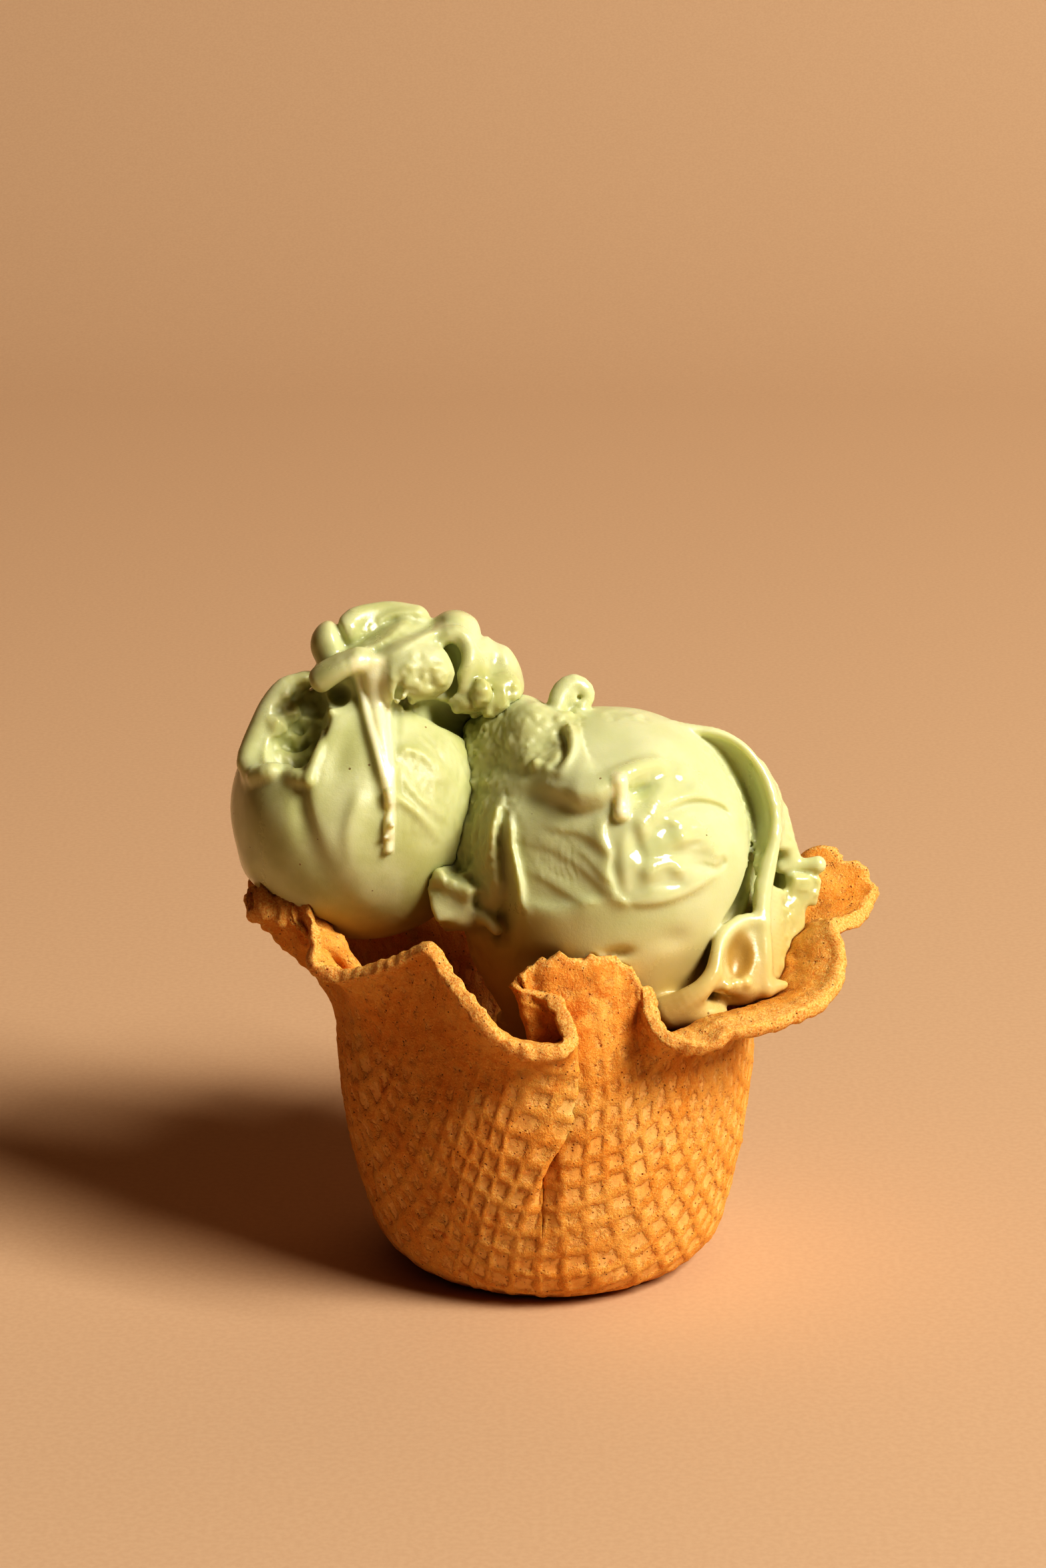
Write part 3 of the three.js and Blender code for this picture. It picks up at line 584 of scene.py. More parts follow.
def waffle_material():
    shader = Shader("baked_waffle")
    crumb = shader.noise(0.42, 4, 0.72)
    clumps = shader.noise(1.3, 4, 0.7, warp=0.5)
    patches = shader.noise(11, 3, 0.6, warp=0.4)
    blotches = shader.noise(3.2, 4, 0.65, warp=0.6)
    pore = shader.times(shader.span(shader.spots(0.8)[0], 0.3, 0.14), shader.span(clumps, 0.53, 0.62))

    # smooth pale bottoms of the cells, with a ragged crumbly border to the ridges
    bottom = shader.plus(shader.attribute("cell"), shader.span(clumps, 0.25, 0.75, -0.42, 0.42))
    bottom = shader.span(bottom, 0.25, 0.85, 0, 0.9)
    ridge = shader.mix(shader.span(patches, 0.3, 0.7), RIDGE_LIGHT, RIDGE_DEEP)
    pale = shader.mix(shader.span(patches, 0.3, 0.7), CELL_LIGHT, CELL_DEEP)
    colour = shader.mix(bottom, ridge, pale)

    # baked browner in blotches, in painted shade at the fan and darker towards the foot, and light and
    # dark crumbs on the ridges
    brown_and_shade = shader.plus(blotches, shader.times(shader.attribute("fan_shade_and_dark_foot"), 0.16))
    brown_and_shade = shader.times(shader.span(brown_and_shade, 0.52, 0.74), shader.span(patches, 0.62, 0.34, 0.2, 0.75))
    colour = shader.mix(brown_and_shade, colour, BAKED_BROWN_AND_SHADE)
    light_crumb = shader.times(shader.span(crumb, 0.5, 0.72), shader.span(bottom, 0, 1, 0.55, 0.2))
    colour = shader.mix(light_crumb, colour, CRUMB_LIGHT)
    dark_crumb = shader.times(shader.span(crumb, 0.48, 0.3), shader.span(bottom, 0, 1, 0.5, 0.12))
    colour = shader.mix(dark_crumb, colour, CRUMB_DARK)

    # the torn edge shows crumb all over, and the same crumb colour is painted light that makes the
    # front-right lip paler
    torn_and_lit = shader.plus(shader.attribute("torn_and_lit"), shader.span(clumps, 0.3, 0.7, -0.4, 0.4))
    torn_and_lit = shader.span(torn_and_lit, 0.25, 0.75)
    torn_colour = shader.mix(shader.span(crumb, 0.32, 0.66), TORN_DARK, TORN_LIGHT)
    colour = shader.mix(shader.times(torn_and_lit, 0.8), colour, torn_colour)
    colour = shader.mix(shader.times(pore, 0.75), colour, PORE_BROWN)

    height = shader.plus(shader.times(crumb, shader.span(bottom, 0, 1, 1, 0.3)),
                         shader.times(clumps, shader.span(bottom, 0, 1, 1.4, 0.2)))
    height = shader.minus(height, shader.times(pore, 1.4))
    shader.cover(Base_Color=colour, Roughness=shader.span(crumb, 0.3, 0.7, 0.6, 0.82),
                 Subsurface_Weight=0.3, Subsurface_Radius=(1, 0.4, 0.12), Subsurface_Scale=1.8 * MM,
                 Specular_IOR_Level=0.35, Normal=shader.bump(height, 0.8, 0.42))
    return shader.material


cup.data.materials.append(waffle_material())

# ---- gelato, worked like clay ----------------------------------------------------------------
# Each scoop is pistachio gelato, rolled up with a disher and set down while soft, so that it
# keeps the marks of the tool: folds, torn crags, hanging strands and slowly melting pools.
# It is formed here in a grid of distances that lumps and strokes are added to or taken from.
FACE_TILT = 17                # degrees: the face that the features are placed on looks up so much
TILT_SIN, TILT_COS = np.sin(np.radians(FACE_TILT)), np.cos(np.radians(FACE_TILT))
# rows: right, up and out, as directions in the frame of the part
FACE = np.array([[1, 0, 0], [0, TILT_SIN, TILT_COS], [0, -TILT_COS, TILT_SIN]])
GRAIN_SIZE = 0.4              # spacing of the grid
FAR = 6.0                     # distances are kept up to this far
ROUGH_BAND = 1.6              # roughness reaches this far from the surface
LEAST_WIDTH = 0.3             # strokes and folds get no thinner


def rotate(a, b, degrees):
    """Coordinates a and b after a turn in their plane."""
    c, s = np.cos(np.radians(degrees)), np.sin(np.radians(degrees))
    return c * a + s * b, -s * a + c * b


class Clay:
    """A lump of gelato as distances on a grid, in (right, up, out) from its ball's middle."""

    def __init__(self, middle, low, high):
        self.middle = np.array(middle, float)
        self.low = np.array(low, float)
        self.axes = [np.arange(a, b, GRAIN_SIZE, dtype=np.float32) for a, b in zip(low, high)]
        self.field = np.full([len(axis) for axis in self.axes], FAR, np.float32)
        self.relief = np.zeros(self.field.shape[:2])

    def window(self, low, high):
        """The slices and open coordinates of the part of the grid in a box."""
        cut = []
        for axis, a, b in zip(self.axes, low, high):
            start = int(np.clip(np.searchsorted(axis, a), 0, len(axis) - 1))
            stop = int(np.clip(np.searchsorted(axis, b), start + 1, len(axis)))
            cut.append(slice(start, stop))
        return tuple(cut), np.ix_(*(axis[part] for axis, part in zip(self.axes, cut)))

    def skin(self, right, up):
        """How far out the surface is at (right, up)."""
        i, j = (int(np.clip(round((place - self.low[k]) / GRAIN_SIZE), 0, len(self.axes[k]) - 1))
                for k, place in enumerate((right, up)))
        line = self.field[i, j]
        inside = np.nonzero(line < 0)[0]
        if not len(inside):
            return 0.0
        k = min(inside[-1], len(line) - 2)
        a, b = line[k], line[k + 1]
        return float(self.axes[2][k] + GRAIN_SIZE * (-a / (b - a) if b > a else 0))

    def blend(self, cut, shape, soft, take=False):
        """Adds a shape's distances, or takes them away, with a fillet of about that size."""
        sign = -1.0 if take else 1.0
        a, b = sign * self.field[cut], shape
        near = np.maximum(soft - np.abs(a - b), 0)
        self.field[cut] = sign * (np.minimum(a, b) - near * near / (4 * soft))

    def ball(self, centre, sizes, soft=2.0, take=False, turn=0.0, lean=0.0):
        """An egg shape with three half sizes, turned about the out axis and leaned about up."""
        centre, sizes = np.array(centre, float), np.array(sizes, float)
        reach = sizes.max() + soft + 1
        cut, (x, y, z) = self.window(centre - reach, centre + reach)
        x, y = rotate(x - centre[0], y - centre[1], turn)
        x, z = rotate(x, z - centre[2], -lean)
        k0 = np.sqrt((x / sizes[0]) ** 2 + (y / sizes[1]) ** 2 + (z / sizes[2]) ** 2)
        k1 = np.sqrt((x / sizes[0] ** 2) ** 2 + (y / sizes[1] ** 2) ** 2 + (z / sizes[2] ** 2) ** 2)
        self.blend(cut, k0 * (k0 - 1) / np.maximum(k1, 1e-6), soft, take)

    def bead(self, right, up, lift, size, soft=1.0):
        """A small round lump whose middle lies so far above the skin."""
        self.ball((right, up, self.skin(right, up) + lift), (size,) * 3, soft)

    def block(self, centre, sizes, round_off, soft, turns):
        """A soft-edged block with three half sizes, turned about right, up and out."""
        centre, sizes = np.array(centre, float), np.array(sizes, float) - round_off
        reach = np.linalg.norm(sizes) + round_off + soft + 1
        cut, (x, y, z) = self.window(centre - reach, centre + reach)
        y, z = rotate(y - centre[1], z - centre[2], turns[0])
        x, z = rotate(x - centre[0], z, -turns[1])
        x, y = rotate(x, y, turns[2])
        qx, qy, qz = np.abs(x) - sizes[0], np.abs(y) - sizes[1], np.abs(z) - sizes[2]
        outside = np.sqrt(np.maximum(qx, 0) ** 2 + np.maximum(qy, 0) ** 2 + np.maximum(qz, 0) ** 2)
        inside = np.minimum(np.maximum(np.maximum(qx, qy), qz), 0)
        self.blend(cut, outside + inside - round_off, soft)

    def trace(self, places, out=False):
        """A smooth course through places (right, up, lift, radius). lift is how far its middle
        lies above the skin, or, with out, its own distance out."""
        knots = [(right, up, lift if out else self.skin(right, up) + lift, radius)
                 for right, up, lift, radius in places]
        return smooth_line(np.array(knots, float))

    def tubes(self, lines, soft, take=False):
        """Rounded tubes along several courses, joined first and then added at once."""
        every = np.concatenate(lines)
        reach = every[:, 3].max() + soft + 1
        cut, _ = self.window(every[:, :3].min(axis=0) - reach, every[:, :3].max(axis=0) + reach)
        shape = np.full(self.field[cut].shape, FAR, np.float32)
        for line in lines:
            for a, b in zip(line[:-1], line[1:]):
                low, high = np.minimum(a, b)[:3] - reach, np.maximum(a, b)[:3] + reach
                part, (px, py, pz) = self.window(low, high)
                inner = tuple(slice(p.start - c.start, p.stop - c.start) for p, c in zip(part, cut))
                step = b[:3] - a[:3]
                px, py, pz = px - a[0], py - a[1], pz - a[2]
                h = np.clip((px * step[0] + py * step[1] + pz * step[2]) / max(step @ step, 1e-9), 0, 1)
                gap = np.sqrt((px - h * step[0]) ** 2 + (py - h * step[1]) ** 2 + (pz - h * step[2]) ** 2)
                shape[inner] = np.minimum(shape[inner], gap - (a[3] + (b[3] - a[3]) * h))
        self.blend(cut, shape, soft, take)

    def stroke(self, places, soft, take=False, out=False):
        """A rounded stroke through places as in trace."""
        self.tubes([self.trace(places, out)], soft, take)

    def cleft(self, places, depth, soft=0.8, out=False):
        """A cut along a course as in trace, carved straight back by that depth."""
        line = self.trace(places, out)
        self.tubes([line - (0, 0, sink, 0) for sink in np.linspace(0, depth, 4)], soft, take=True)

    def web(self, edges, radius, soft):
        """A sheet of that half thickness between courses of places (right, up, out)."""
        lines = [smooth_line(np.array([(*place, radius) for place in edge], float)) for edge in edges]
        shares = np.linspace(0, 1, max(len(line) for line in lines) + 4)
        rails = [np.column_stack([np.interp(shares, np.linspace(0, 1, len(line)), column)
                                  for column in line.T]) for line in lines]
        self.tubes([smooth_line(np.array(rung), 2.0) for rung in zip(*rails)], soft)

    def fold(self, places):
        """A low ridge, or a groove where its height is negative, through places (right, up,
        height, width on the left of its course, width on the right). Waits for press."""
        line = smooth_line(np.array(places, float), 0.8)
        reach = 2.6 * line[:, 3:].max()
        low, high = line[:, :2].min(axis=0) - reach, line[:, :2].max(axis=0) + reach
        cut = self.window([*low, 0], [*high, 0])[0][:2]
        x, y = self.axes[0][cut[0]][:, None], self.axes[1][cut[1]][None, :]
        nearest = np.full((x.shape[0], y.shape[1]), 1e9)
        height = np.zeros_like(nearest)
        for a, b in zip(line[:-1], line[1:]):
            step = b[:2] - a[:2]
            px, py = x - a[0], y - a[1]
            h = np.clip((px * step[0] + py * step[1]) / max(step @ step, 1e-9), 0, 1)
            gap = np.hypot(px - h * step[0], py - h * step[1])
            rise, left, right = (a[i] + (b[i] - a[i]) * h for i in (2, 3, 4))
            width = np.where(step[0] * py - step[1] * px > 0, left, right)
            closer = gap < nearest
            nearest = np.where(closer, gap, nearest)
            height = np.where(closer, rise * np.exp(-(gap / width) ** 2), height)
        self.relief[cut] += height

    def swell(self, right, up, height, wide, tall, turn=0):
        """A low oval rise, or a dent where its height is negative. Waits for press."""
        along, across = rotate(self.axes[0][:, None] - right, self.axes[1][None, :] - up, turn)
        self.relief += height * np.exp(-(along / wide) ** 2 - (across / tall) ** 2)

    def press(self):
        """Raises the front by the waiting folds and swells."""
        front = ramp(self.axes[2], -4, 3)[None, None, :]
        self.field -= (self.relief[:, :, None] * front).astype(np.float32)
        self.relief[:] = 0

    def roughen(self, size, amount, where=None, seed=0, stretch=(1, 1, 1)):
        """Adds noise of that size to the surface. where gives a share for each place."""
        band = np.nonzero(np.abs(self.field) < ROUGH_BAND)
        points = np.stack([axis[index] for axis, index in zip(self.axes, band)], axis=1).astype(float)
        share = 1.0
        if where is not None:
            share = where(points)
            touched = share > 0.01
            band = tuple(index[touched] for index in band)
            points, share = points[touched], share[touched]
        lumps = amount * share * noise(points / np.array(stretch), size, seed)
        self.field[band] -= lumps.astype(np.float32)

    def to_part(self, points):
        return points @ FACE + self.middle

    def to_face(self, points):
        return (points - self.middle) @ FACE.T


def smooth_line(knots, step=1.2):
    """A Catmull-Rom line through the rows of knots, with points about a step apart."""
    padded = np.concatenate([[2 * knots[0] - knots[1]], knots, [2 * knots[-1] - knots[-2]]])
    line = []
    for p0, p1, p2, p3 in zip(padded[:-3], padded[1:-2], padded[2:-1], padded[3:]):
        count = max(2, int(np.linalg.norm(p2[:3] - p1[:3]) / step))
        for t in np.arange(count) / count:
            line.append(0.5 * (2 * p1 + (p2 - p0) * t + (2 * p0 - 5 * p1 + 4 * p2 - p3) * t * t
                               + (3 * p1 - p0 - 3 * p2 + p3) * t ** 3))
    line = np.array(line + [knots[-1]])
    line[:, 3:] = np.maximum(line[:, 3:], LEAST_WIDTH)
    return line


def patch(points, right, up, half_width, half_height, inner=0.5):
    """1 inside an oval on the face, falling to 0 at its border. Only the front half counts."""
    reach = np.hypot((points[:, 0] - right) / half_width, (points[:, 1] - up) / half_height)
    return (1 - ramp(reach, inner, 1)) * ramp(points[:, 2], -3, 3)


def away_side(points):
    """1 on the side away from the front, 0 on the front."""
    return ramp(points[:, 2], 2, -8)


def beside_line(points, places):
    """1 along a line down the face, 0 beyond its half width: (right, up, half width), top first."""
    rights, ups, widths = np.array(places[::-1]).T
    reach = np.interp(points[:, 1], ups, widths)
    away = np.abs(points[:, 0] - np.interp(points[:, 1], ups, rights)) / reach
    along = ramp(points[:, 1], ups[0] - 1, ups[0]) * ramp(points[:, 1], ups[-1] + 2, ups[-1])
    return ramp(away, 1.1, 0.8) * along * ramp(points[:, 2], 5, 10)


def cut_clear(clay, points, faces, gap):
    """Takes another piece, and a gap round it, away from the clay."""
    triangle = faces[:, 2] == faces[:, 3]
    local = (clay.to_face(points) - clay.low).astype(np.float32)
    solid = openvdb.FloatGrid.createLevelSetFromPolygons(
        local, triangles=faces[triangle][:, :3].astype(np.uint32),
        quads=faces[~triangle].astype(np.uint32),
        transform=openvdb.createLinearTransform(GRAIN_SIZE), halfWidth=4)
    inside = np.zeros(clay.field.shape, np.float32)
    solid.copyToArray(inside)
    np.maximum(clay.field, gap - inside, out=clay.field)


def clay_surface(clay):
    """Points and quads of the clay's surface, with loose scraps left out."""
    grid = openvdb.FloatGrid(FAR)
    grid.copyFromArray(clay.field)
    points, quads = grid.convertToQuads(isovalue=0)
    label = np.arange(len(points))
    while True:
        lowest = label[quads].min(axis=1)
        fresh = label.copy()
        for corner in range(4):
            np.minimum.at(fresh, quads[:, corner], lowest)
        fresh = fresh[fresh]
        if (fresh == label).all():
            break
        label = fresh
    keep = label == np.bincount(label).argmax()
    index = np.cumsum(keep) - 1
    quads = index[quads[keep[quads[:, 0]]]]
    return clay.to_part(points[keep] * GRAIN_SIZE + clay.low), quads


# ---- right scoop -----------------------------------------------------------------------------
# The larger ball sits deep in the cup on gelato that is packed down to the floor. It has a
# torn crater and a curl on top, a soft fold with a drip across the front, a melting patch, and
# the skirt that the tool pressed out at its right side, with a loop that hangs to the front.
RIGHT_MIDDLE = (11.2, -4, 84.8)
RIGHT_RADIUS = 29.3
RIGHT_BELLY = 45              # half its height, below its middle
STEM_MIDDLE = (6, 2)
WAFER_GAP, SCOOP_GAP = 0.12, 0.05      # clear space to the cup, and between the scoops
STEM_OUTLINE = [                # height and radius
    (2.9, 15), (5, 17.5), (8, 19.8), (11, 21.3), (17, 21.8), (23, 21), (30, 18.8), (37, 17.2), (49, 16),
]
STEM_FILLET = 5.0


def right_ball(clay):
    """The ball, drawn down to a point inside the cup, and the stem under it."""
    x, y, z = np.ix_(*clay.axes)
    high = FACE[1, 2] * y + FACE[2, 2] * z
    deep = FACE[1, 1] * y + FACE[2, 1] * z
    tall = np.where(high < 0, RIGHT_BELLY, RIGHT_RADIUS)
    across = x * x + deep * deep
    k0 = np.sqrt(across / RIGHT_RADIUS ** 2 + (high / tall) ** 2)
    k1 = np.sqrt(across / RIGHT_RADIUS ** 4 + (high / tall ** 2) ** 2)
    clay.field[:] = np.clip(k0 * (k0 - 1) / np.maximum(k1, 1e-6), -FAR, FAR)
    outline = np.array(STEM_OUTLINE, float)
    above = high + RIGHT_MIDDLE[2]
    wide = np.interp(above, outline[:, 0], outline[:, 1]).astype(np.float32)
    aside, behind = x + RIGHT_MIDDLE[0] - STEM_MIDDLE[0], deep + RIGHT_MIDDLE[1] - STEM_MIDDLE[1]
    reach = np.sqrt(aside ** 2 + behind ** 2)
    stem = np.maximum(reach - wide, np.maximum(outline[0, 0] - above, above - outline[-1, 0]))
    clay.blend(np.s_[:, :, :], np.clip(stem, -FAR, FAR).astype(np.float32), STEM_FILLET)


def right_scoop():
    """The right ball with its folds, crater, skirt, loop and chunk, in the order of their making."""
    clay = Clay(RIGHT_MIDDLE, (-40, -86, -52), (48, 37, 34))
    right_ball(clay)
    clay.roughen(18, 0.45, seed=11)

    # the upper layer: it ends in a soft rolled edge over a scooped hollow
    clay.fold([(-18.7, 14.6, 0.3, 6, 2.5), (-14.9, 15.5, 1.6, 8, 2.2), (-10.6, 14, 2.3, 9, 2.2),
        (-6.4, 12.5, 2.5, 9, 2.2), (-2.6, 12.3, 2.4, 8, 2.1), (0.1, 13.5, 2.1, 7, 1.8),
        (2.2, 15.4, 1.7, 6, 1.8), (5.1, 17.5, 1.4, 5, 2.6), (9.1, 18.9, 1, 5, 4),
        (14.5, 19.6, 0.5, 5, 5)])
    clay.fold([(-18.7, 11.9, -0.3, 1.8, 2.4), (-14.9, 10.8, -1.1, 2.2, 3.4), (-10.6, 8.8, -1, 2.5, 4.2),
        (-5.8, 7.6, -0.6, 2.5, 4.6), (-2.1, 8, -0.3, 2.2, 4), (0.3, 9.5, -0.1, 1.6, 2.6)])
    clay.swell(-9, -0.4, -1.8, 8.6, 7.6, 20)
    clay.swell(-4.8, 16.7, 0.4, 7, 2.4, -14)
    clay.swell(2.7, 21.2, -0.4, 9, 2.6, 14)
    # pulled ridges inside the hollow and the lip below it
    clay.fold([(-12.8, 6.3, 0.1, 2.6, 1), (-9.6, 5.2, 0.5, 2.8, 0.9), (-5.8, 4.5, 0.6, 2.8, 0.9),
        (-2.6, 2.9, 0.5, 2.2, 0.8), (-0.5, 0.9, 0.2, 1.6, 0.8)])
    clay.fold([(-14.7, 2.2, 0.1, 2.6, 0.9), (-11.2, 1.6, 0.4, 3, 0.9), (-7.7, -0.5, 0.5, 3, 0.8),
        (-4.2, -3.1, 0.5, 2.4, 0.8), (-0.7, -6.7, 0.2, 1.6, 0.8)])
    clay.fold([(-16, -2.6, 0.1, 2.4, 0.9), (-12.8, -3.9, 0.4, 2.4, 0.9), (-9, -6.4, 0.5, 2.2, 0.8),
        (-4.8, -8.7, 0.3, 1.8, 0.9)])
    clay.fold([(-6.9, 2.2, 0.1, 1.8, 0.8), (-4.2, -0.2, 0.35, 1.8, 0.7), (-0.7, -4.2, 0.3, 1.6, 0.7)])
    clay.fold([(-17.1, -7.4, 0.2, 1.6, 3), (-14.8, -9.8, 0.8, 1.8, 3.6), (-11.2, -10.9, 1, 1.8, 3.8),
        (-7.4, -10.2, 0.8, 1.7, 3.6), (-4.2, -9.4, 0.8, 1.5, 3.2), (0.1, -8.7, 0.4, 1.4, 3)])
    # two thin fins at the hollow's left, with a groove between them
    clay.fold([(-19.3, 8.1, 0.5, 0.7, 2), (-18.8, 5.5, 1.4, 0.75, 3), (-18.7, 2.2, 1.7, 0.8, 3.4),
        (-17.9, -2, 1.8, 0.85, 3.4), (-17.1, -5.8, 1.7, 0.9, 3.2), (-17, -8.7, 1.2, 1, 2.6),
        (-16, -10.9, 0.4, 1.2, 2)])
    clay.fold([(-20.5, 10.5, 0.4, 0.6, 0.6), (-21.6, 8.7, 1.5, 1, 0.7), (-22.2, 6, 1.8, 1.3, 0.8),
        (-22.6, 2.8, 1.1, 1.5, 1), (-23.2, -1.5, 0.5, 1.6, 1.4)])
    clay.fold([(-20, 7.6, -0.7, 1, 0.8), (-20.5, 3.3, -2.1, 1.5, 1.3), (-20, -1.5, -2.4, 1.7, 1.5),
        (-19.5, -6.3, -2.2, 1.9, 1.6), (-19.7, -10.6, -1.8, 2, 2), (-20.7, -14.9, -1, 2.4, 2.2)])
    # the melting patch: a raised rim round pools and soft lumps
    clay.swell(11.8, 4.9, 0.9, 12, 10)
    clay.fold([(-0.2, 7.6, 0.2, 0.7, 1.6), (-1.3, 5.5, 0.7, 0.7, 1.8), (-1.2, 2.8, 0.8, 0.8, 2),
        (-0.2, 0.4, 0.8, 0.8, 2), (-0.5, -2.6, 0.8, 0.8, 2), (0.2, -5.2, 0.9, 0.8, 2),
        (1.1, -7.4, 0.8, 0.9, 1.8), (2.7, -8.8, 0.4, 1, 1.6)])
    clay.fold([(2.7, -8.7, 0.4, 1.8, 1), (6.5, -8.9, 0.8, 2.2, 1), (10.2, -8.5, 0.9, 2.2, 1),
        (13.7, -7.3, 0.8, 2.2, 1), (16.9, -5.8, 0.7, 2, 1), (19.9, -3.5, 0.5, 1.8, 1),
        (22.1, -1.4, 0.2, 1.4, 1)])
    clay.fold([(3.4, 4.9, 0.2, 1.2, 1.2), (2.7, 1.2, 0.7, 1.3, 1.4), (2.9, -2.6, 0.8, 1.4, 1.4),
        (3, -5.8, 0.5, 1.4, 1.4)])
    for right, up, height, wide, tall, turn in (
            (8.1, 8.1, 0.9, 2.4, 3.6, -20), (14.2, 3.7, 0.9, 3.2, 2.2, -10),
            (11, -1.5, 0.8, 3.2, 1.8, 14), (7.3, -3.1, 0.6, 1.8, 2.4, 0),
            (14.8, -4.4, 0.5, 2.2, 1.5, 0), (19.9, 2.2, 0.6, 3, 2, -14),
            (13.4, 0.4, -0.6, 3.6, 1.2, 10), (10.8, 4.9, -0.9, 2.2, 2.2, 0),
            (5.4, 1.4, -0.8, 1.5, 3.2, 8), (11.3, -5.5, -0.5, 4, 1.1, 12),
            (17.2, -0.4, -0.5, 2.4, 1.5, 0),
            (5.9, 5.5, 0.7, 1.5, 2.4, 10), (5, -1, 0.6, 1.2, 1.8, 0), (13.7, -2.6, 0.5, 1.8, 0.9, 16),
            (17.4, 5.5, 0.6, 1.8, 1.2, -16), (12.4, 6.5, 0.5, 1.6, 0.9, -10),
            (8.1, 2.8, -0.5, 1.4, 1.4, 0), (16.4, 2.2, -0.6, 1.6, 0.8, 12),
            (9.1, -6.3, 0.4, 2.2, 0.8, 12), (21.2, 0.1, 0.4, 1.4, 0.9, 0)):
        clay.swell(right, up, height, wide, tall, turn)
    for right, up, height, size in (
            (10.9, 13.4, 0.5, 1.5), (14.5, 15.4, 0.45, 1.4), (17.2, 13.5, 0.5, 1.6),
            (8.9, 10.8, 0.4, 1.5), (12.6, 14.3, -0.3, 1), (15.3, 13.5, -0.35, 1.1)):
        clay.swell(right, up, height, size * 1.4, size, 20)
    clay.fold([(10.2, 8, -0.2, 0.7, 1), (12.4, 8.8, -0.8, 0.7, 1.1), (16.1, 9.8, -0.9, 0.7, 1.1),
        (19.9, 9.6, -0.9, 0.7, 1.1), (22.1, 8.7, -1, 0.7, 0.9), (23.2, 7.5, -0.4, 0.6, 0.8)])
    clay.fold([(10.8, 10, 0.2, 1.8, 1), (15, 11.4, 0.6, 2, 1), (19.3, 11.2, 0.6, 2, 1),
        (22.8, 9.7, 0.2, 1.5, 1)])
    clay.fold([(14.8, -1.4, -0.2, 0.6, 0.8), (18, -1.8, -0.6, 0.6, 0.9), (20.7, -2.5, -0.7, 0.6, 0.8),
        (22.1, -1.4, -0.7, 0.6, 0.6), (21.8, -0.3, -0.2, 0.5, 0.5)])
    clay.fold([(3.4, 12.5, -0.6, 0.7, 0.8), (4.6, 11.8, -1.6, 1, 1.4), (6.2, 12.5, -1.4, 1, 1.5),
        (8.1, 13.4, -0.4, 0.9, 1.2)])
    # soft dents of the belly
    clay.swell(1.6, -18.7, -1.7, 2.5, 1.1, 8)
    clay.swell(12.4, -15.9, -0.7, 3.2, 2.2, 20)
    clay.swell(-12.3, -20.2, -0.7, 5, 2.5, 0)
    clay.swell(-21.3, -13.8, -1.2, 2.6, 3.6, 20)
    # the torn crater at the top left, inside a crisp edge, and the neck beside it
    clay.fold([(-9.7, 16.2, 0.6, 3, 1.4), (-8.2, 18, 1, 3.4, 1), (-7, 20.2, 1.3, 3.6, 0.9),
        (-6.7, 22.7, 1.5, 3.6, 0.9), (-7.7, 25.7, 1.3, 3.2, 0.9), (-9.6, 28.7, 0.8, 2.6, 0.9)])
    clay.swell(-11.2, 21.2, -1.6, 3.4, 4.6, 8)
    clay.swell(-15.4, 22, 0.6, 2, 3.6, 10)
    clay.swell(-14.4, 15, -1.2, 5, 1.8, -14)
    clay.press()
    clay.ball((-20.7, 18.3, 1.5), (7, 9, 7), 4, turn=-8)
    clay.ball((-22.8, 23.6, 0.5), (4, 3.4, 4), 2.5)
    clay.ball((-17.1, 23.6, clay.skin(-17.1, 23.6) - 4.2), (6.2, 7.6, 6.4), 5, turn=-10)
    clay.ball((-13.6, 22, clay.skin(-13.6, 22) - 3.4), (5.6, 7.2, 5), 4, turn=8)
    clay.cleft([(-9.4, 23.6, 0.5, 0.7), (-8.7, 21.5, 0.2, 0.9), (-9, 19.1, 0.2, 0.9),
        (-10.5, 17.3, 0.4, 0.7)], 0.6, 1)
    clay.stroke([(-24.2, 25.7, -3, 3), (-25.2, 21, 0.5, 3), (-26.2, 15.6, 3, 2.8), (-26.9, 9.7, 5, 2.6),
        (-27.2, 4.4, 6.5, 2.4), (-27.2, -1, 7.5, 2.2)], 3, out=True)
    for right, up, size in (
            (-15.9, 18.2, 0.8), (-13.8, 17.4, 0.8), (-9.1, 26.3, 0.8), (-7.4, 26.9, 1),
            (-18.7, 22, 0.8)):
        clay.bead(right, up, -0.5, size, 1.2)
    # the curl on top: a fat knob bent round a small hole
    clay.stroke([(-9.6, 27.1, 9, 1.8), (-9.5, 29.5, 8, 2.1), (-8.4, 31.7, 7, 2.3), (-6.4, 33, 6.5, 2.2),
        (-4.5, 32.1, 6.5, 1.9), (-4, 30.5, 6.5, 1.6), (-5, 29.1, 7, 1.5)], 0.9, out=True)
    clay.ball((-7.3, 30.6, 6.5), (2.2, 2.2, 2.4), 0.8)
    clay.stroke([(-5.5, 30.5, 13, 0.5), (-5.5, 30.5, 7.4, 0.4)], 0.4, take=True, out=True)
    clay.ball((-6.9, 27.6, 6), (3.6, 1.8, 3), 1.2)
    # the drip under the fold's tip and the thick lip beside it
    clay.stroke([(-4.8, 11.4, -1.7, 2.4), (-2.1, 11.9, -1.5, 2.3), (0.3, 13.1, -1.2, 2),
        (2.2, 14.6, -0.8, 1.8), (4.3, 15.8, -0.4, 1.5), (6.7, 16.7, -0.5, 1.4), (9.1, 17, -0.8, 1.3)],
        2.2)
    clay.stroke([(1.9, 13.8, -0.3, 1.8), (2.1, 11.3, 0.5, 1.4), (2.2, 9.2, 0.7, 1.35),
        (2.3, 8, 0.7, 1.6)], 0.7)
